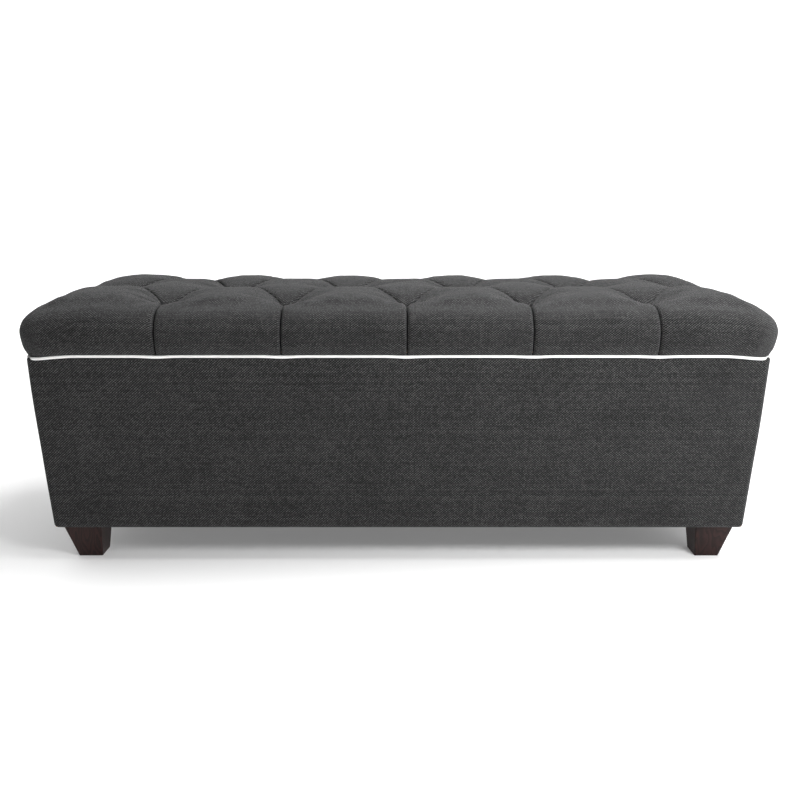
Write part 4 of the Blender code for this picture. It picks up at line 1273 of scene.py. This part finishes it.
def screw_head(shape, place, up, turn):
    """A flat-domed screw head with a cross recess, facing along up (+1 or -1)."""
    radii = np.concatenate([np.linspace(0, 0.94, 22), [1.0, 1.0]]) * SCREW_RADIUS
    angles = np.linspace(0, 2 * math.pi, 49)
    r, a = np.meshgrid(radii, angles, indexing="ij")
    x, y = r * np.cos(a), r * np.sin(a)
    dome = SCREW_DOME * np.sqrt(np.maximum(1 - (r / SCREW_RADIUS) ** 2, 0))
    turned_x = x * math.cos(turn) + y * math.sin(turn)
    turned_y = y * math.cos(turn) - x * math.sin(turn)
    arm = np.minimum(np.abs(turned_x), np.abs(turned_y))
    recess = (1 - ease(arm, *RECESS_ARM)) * (1 - ease(r, *RECESS_REACH))
    z = dome - RECESS_DEPTH * recess
    z[-1] = -RIM_SINK
    points = np.stack([x + place[0], y + place[1], place[2] + up * z], -1)
    shape.add_grid(points if up < 0 else points[::-1])


def screw_set(name, body, places, up, steel):
    """One piece of screw heads at the given places, each turned at random."""
    shape = Shape()
    for place in places:
        screw_head(shape, place, up, RANDOM.uniform(0, math.pi / 2))
    screws = shape.piece(name, steel)
    weld(screws)
    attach(screws, body)


def hardware_screws(steel):
    """Screws through the hinge leaves and the stay brackets."""
    for side in ("left", "right"):
        for node, body, up in (("hinge_box_leaf_" + side, "box", 1), ("hinge_lid_leaf_" + side, "lid", -1)):
            low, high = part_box(node)
            face = leaf_face(node, up)
            spots = np.interp(LEAF_SCREWS, (0, 1), (low.x, high.x))
            places = [(x, low.y + LEAF_SCREW_IN, face) for x in spots]
            screw_set(node + "_screws", body, places, up, steel)
        low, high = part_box("stay_bracket_" + side)
        x = high.x - BRACKET_SCREW_IN if side == "left" else low.x + BRACKET_SCREW_IN
        ends = (low.y + BRACKET_SCREW_END, high.y - BRACKET_SCREW_END)
        places = [(x, y, high.z - BRACKET_THICKNESS) for y in ends]
        screw_set("stay_bracket_%s_screws" % side, "lid", places, -1, steel)


def leaf_face(node, up):
    """Height of the open face of a hinge leaf's plate."""
    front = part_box(node)[0].y + 0.001
    heights = [vertex.co.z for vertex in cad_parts[node].data.vertices if vertex.co.y < front]
    return max(heights) if up > 0 else min(heights)


# ---------------- stage
WALL_LIGHT = 1.25
FRONT_LEFT_LIGHT = 0.0
# painted light: how strongly the floor near the bench glows
FLOOR_GLOW = 0.16
DIM_SIDES = (("X", 0.1, 1.0, FRONT_LEFT_LIGHT), ("Y", -0.15, 0.20, 0.0))  # (axis, from, to, dim light)
CAMERA_PLACE = (0.0025, -1.680, 0.629)
CAMERA_TILT = 0.229  # below level, in radians
CAMERA_LENS = 40.05
LIGHTS = [
    ("overhead", (0.9, 0.1, 2.6), (0, 0, 0.3), (2.0, 1.2), 78),
    ("right_front", (2.6, -1.9, 1.6), (0.1, 0, 0.3), (1.8, 1.8), 4),
    ("near_front", (0.72, -1.10, 1.00), (0.35, -0.25, 0.25), (0.5, 0.4), 15),
]  # (name, place, point it aims at, size, power)


def camera():
    data = bpy.data.cameras.new("camera")
    data.lens = CAMERA_LENS
    data.sensor_width = 36.0
    made = bpy.data.objects.new("camera", data)
    made.location = CAMERA_PLACE
    made.rotation_euler = (math.pi / 2 - CAMERA_TILT, 0, 0)
    bpy.context.scene.collection.objects.link(made)
    bpy.context.scene.camera = made


def area_light(name, place, aim, size, power):
    data = bpy.data.lights.new(name, "AREA")
    data.shape = "RECTANGLE"
    data.size, data.size_y = size
    data.energy = power
    made = bpy.data.objects.new(name, data)
    made.location = place
    made.rotation_euler = (Vector(aim) - Vector(place)).to_track_quat("-Z", "Y").to_euler()
    bpy.context.scene.collection.objects.link(made)


def studio_walls():
    """Soft light from all round: bright behind and to the right, dimmer at the front left."""
    world = bpy.data.worlds.new("studio")
    bpy.context.scene.world = world
    world.use_nodes = True
    tree = world.node_tree
    heading = tree.nodes.new("ShaderNodeTexCoord").outputs["Generated"]
    axes = tree.nodes.new("ShaderNodeSeparateXYZ")
    tree.links.new(heading, axes.inputs[0])
    strengths = []
    for axis, low, high, dim in DIM_SIDES:
        spread = tree.nodes.new("ShaderNodeMapRange")
        spread.interpolation_type = "SMOOTHSTEP"
        spread.inputs["From Min"].default_value = low
        spread.inputs["From Max"].default_value = high
        spread.inputs["To Min"].default_value = dim
        spread.inputs["To Max"].default_value = WALL_LIGHT
        tree.links.new(axes.outputs[axis], spread.inputs["Value"])
        strengths.append(spread.outputs["Result"])
    brighter = tree.nodes.new("ShaderNodeMath")
    brighter.operation = "MAXIMUM"
    tree.links.new(strengths[0], brighter.inputs[0])
    tree.links.new(strengths[1], brighter.inputs[1])
    tree.links.new(brighter.outputs[0], tree.nodes["Background"].inputs["Strength"])
    tree.nodes["Background"].inputs["Color"].default_value = (1, 1, 1, 1)


def studio():
    shape = Shape()
    corners = np.array([[(-60, -40, 0), (-60, 90, 0)], [(60, -40, 0), (60, 90, 0)]], float)
    shape.add_grid(corners)
    floor = shape.piece("studio_floor", glowing_floor(), smooth=False)
    studio_walls()
    for light in LIGHTS:
        area_light(*light)
    bpy.context.scene.view_settings.view_transform = "Standard"


# ---------------- finishes on the frame's own pieces
def paint(node, material):
    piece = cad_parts[node]
    piece.data.materials.clear()
    piece.data.materials.append(material)


PINE_PALE = (0.60, 0.42, 0.24)
PINE_DARK = (0.42, 0.25, 0.12)
PLYWOOD_PANELS = {
    "lid_board": (0, 2),
    "base_panel": (0, 2),
    "front_panel": (0, 1),
    "back_panel": (0, 1),
    "left_panel": (1, 0),
    "right_panel": (1, 0),
}  # (axis along the grain, axis through the plies)


def ease_edges(piece):
    """Rounds a piece's edges slightly."""
    weld(piece)
    bevel = piece.modifiers.new("eased edges", "BEVEL")
    bevel.width, bevel.segments = 0.0012, 3


def paint_frame(steel):
    """Finishes for the frame's own pieces, by their names."""
    enamel = black_enamel()
    foot_wood = dark_lacquered_wood()
    timber = sawn_timber("pine", 0, PINE_PALE, PINE_DARK)
    post = sawn_timber("pine_upright", 2, PINE_PALE, PINE_DARK)
    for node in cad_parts:
        if "hinge" in node or "bolt" in node:
            paint(node, steel)
        elif "stay" in node:
            paint(node, enamel)
        elif node.startswith("foot_"):
            paint(node, foot_wood)
            ease_edges(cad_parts[node])
        elif node.startswith("corner_block"):
            paint(node, post)
        elif node.startswith("base_cleat"):
            paint(node, timber)
    for node, (lengthwise, through) in PLYWOOD_PANELS.items():
        paint(node, plywood(node + "_plywood", lengthwise, through))


# ---------------- everything
def dress_bench():
    camera()
    studio()
    steel = zinc_steel()
    paint_frame(steel)
    charcoal = charcoal_cloth()
    white = white_cloth()
    black = black_cloth()
    cover = tufted_cover(charcoal)
    tuft_buttons(cover, charcoal)
    lid_piping(white)
    box_covers(charcoal)
    stapled_sheet("lid_underside_cloth", "lid_lining", "lid", 0.0004, black, steel)
    stapled_sheet("dust_cloth", "dust_cover", "box", 0.0020, black, steel)
    well_lining(black)
    hardware_screws(steel)


def write_sizes():
    bpy.context.view_layer.update()


dress_bench()
write_sizes()
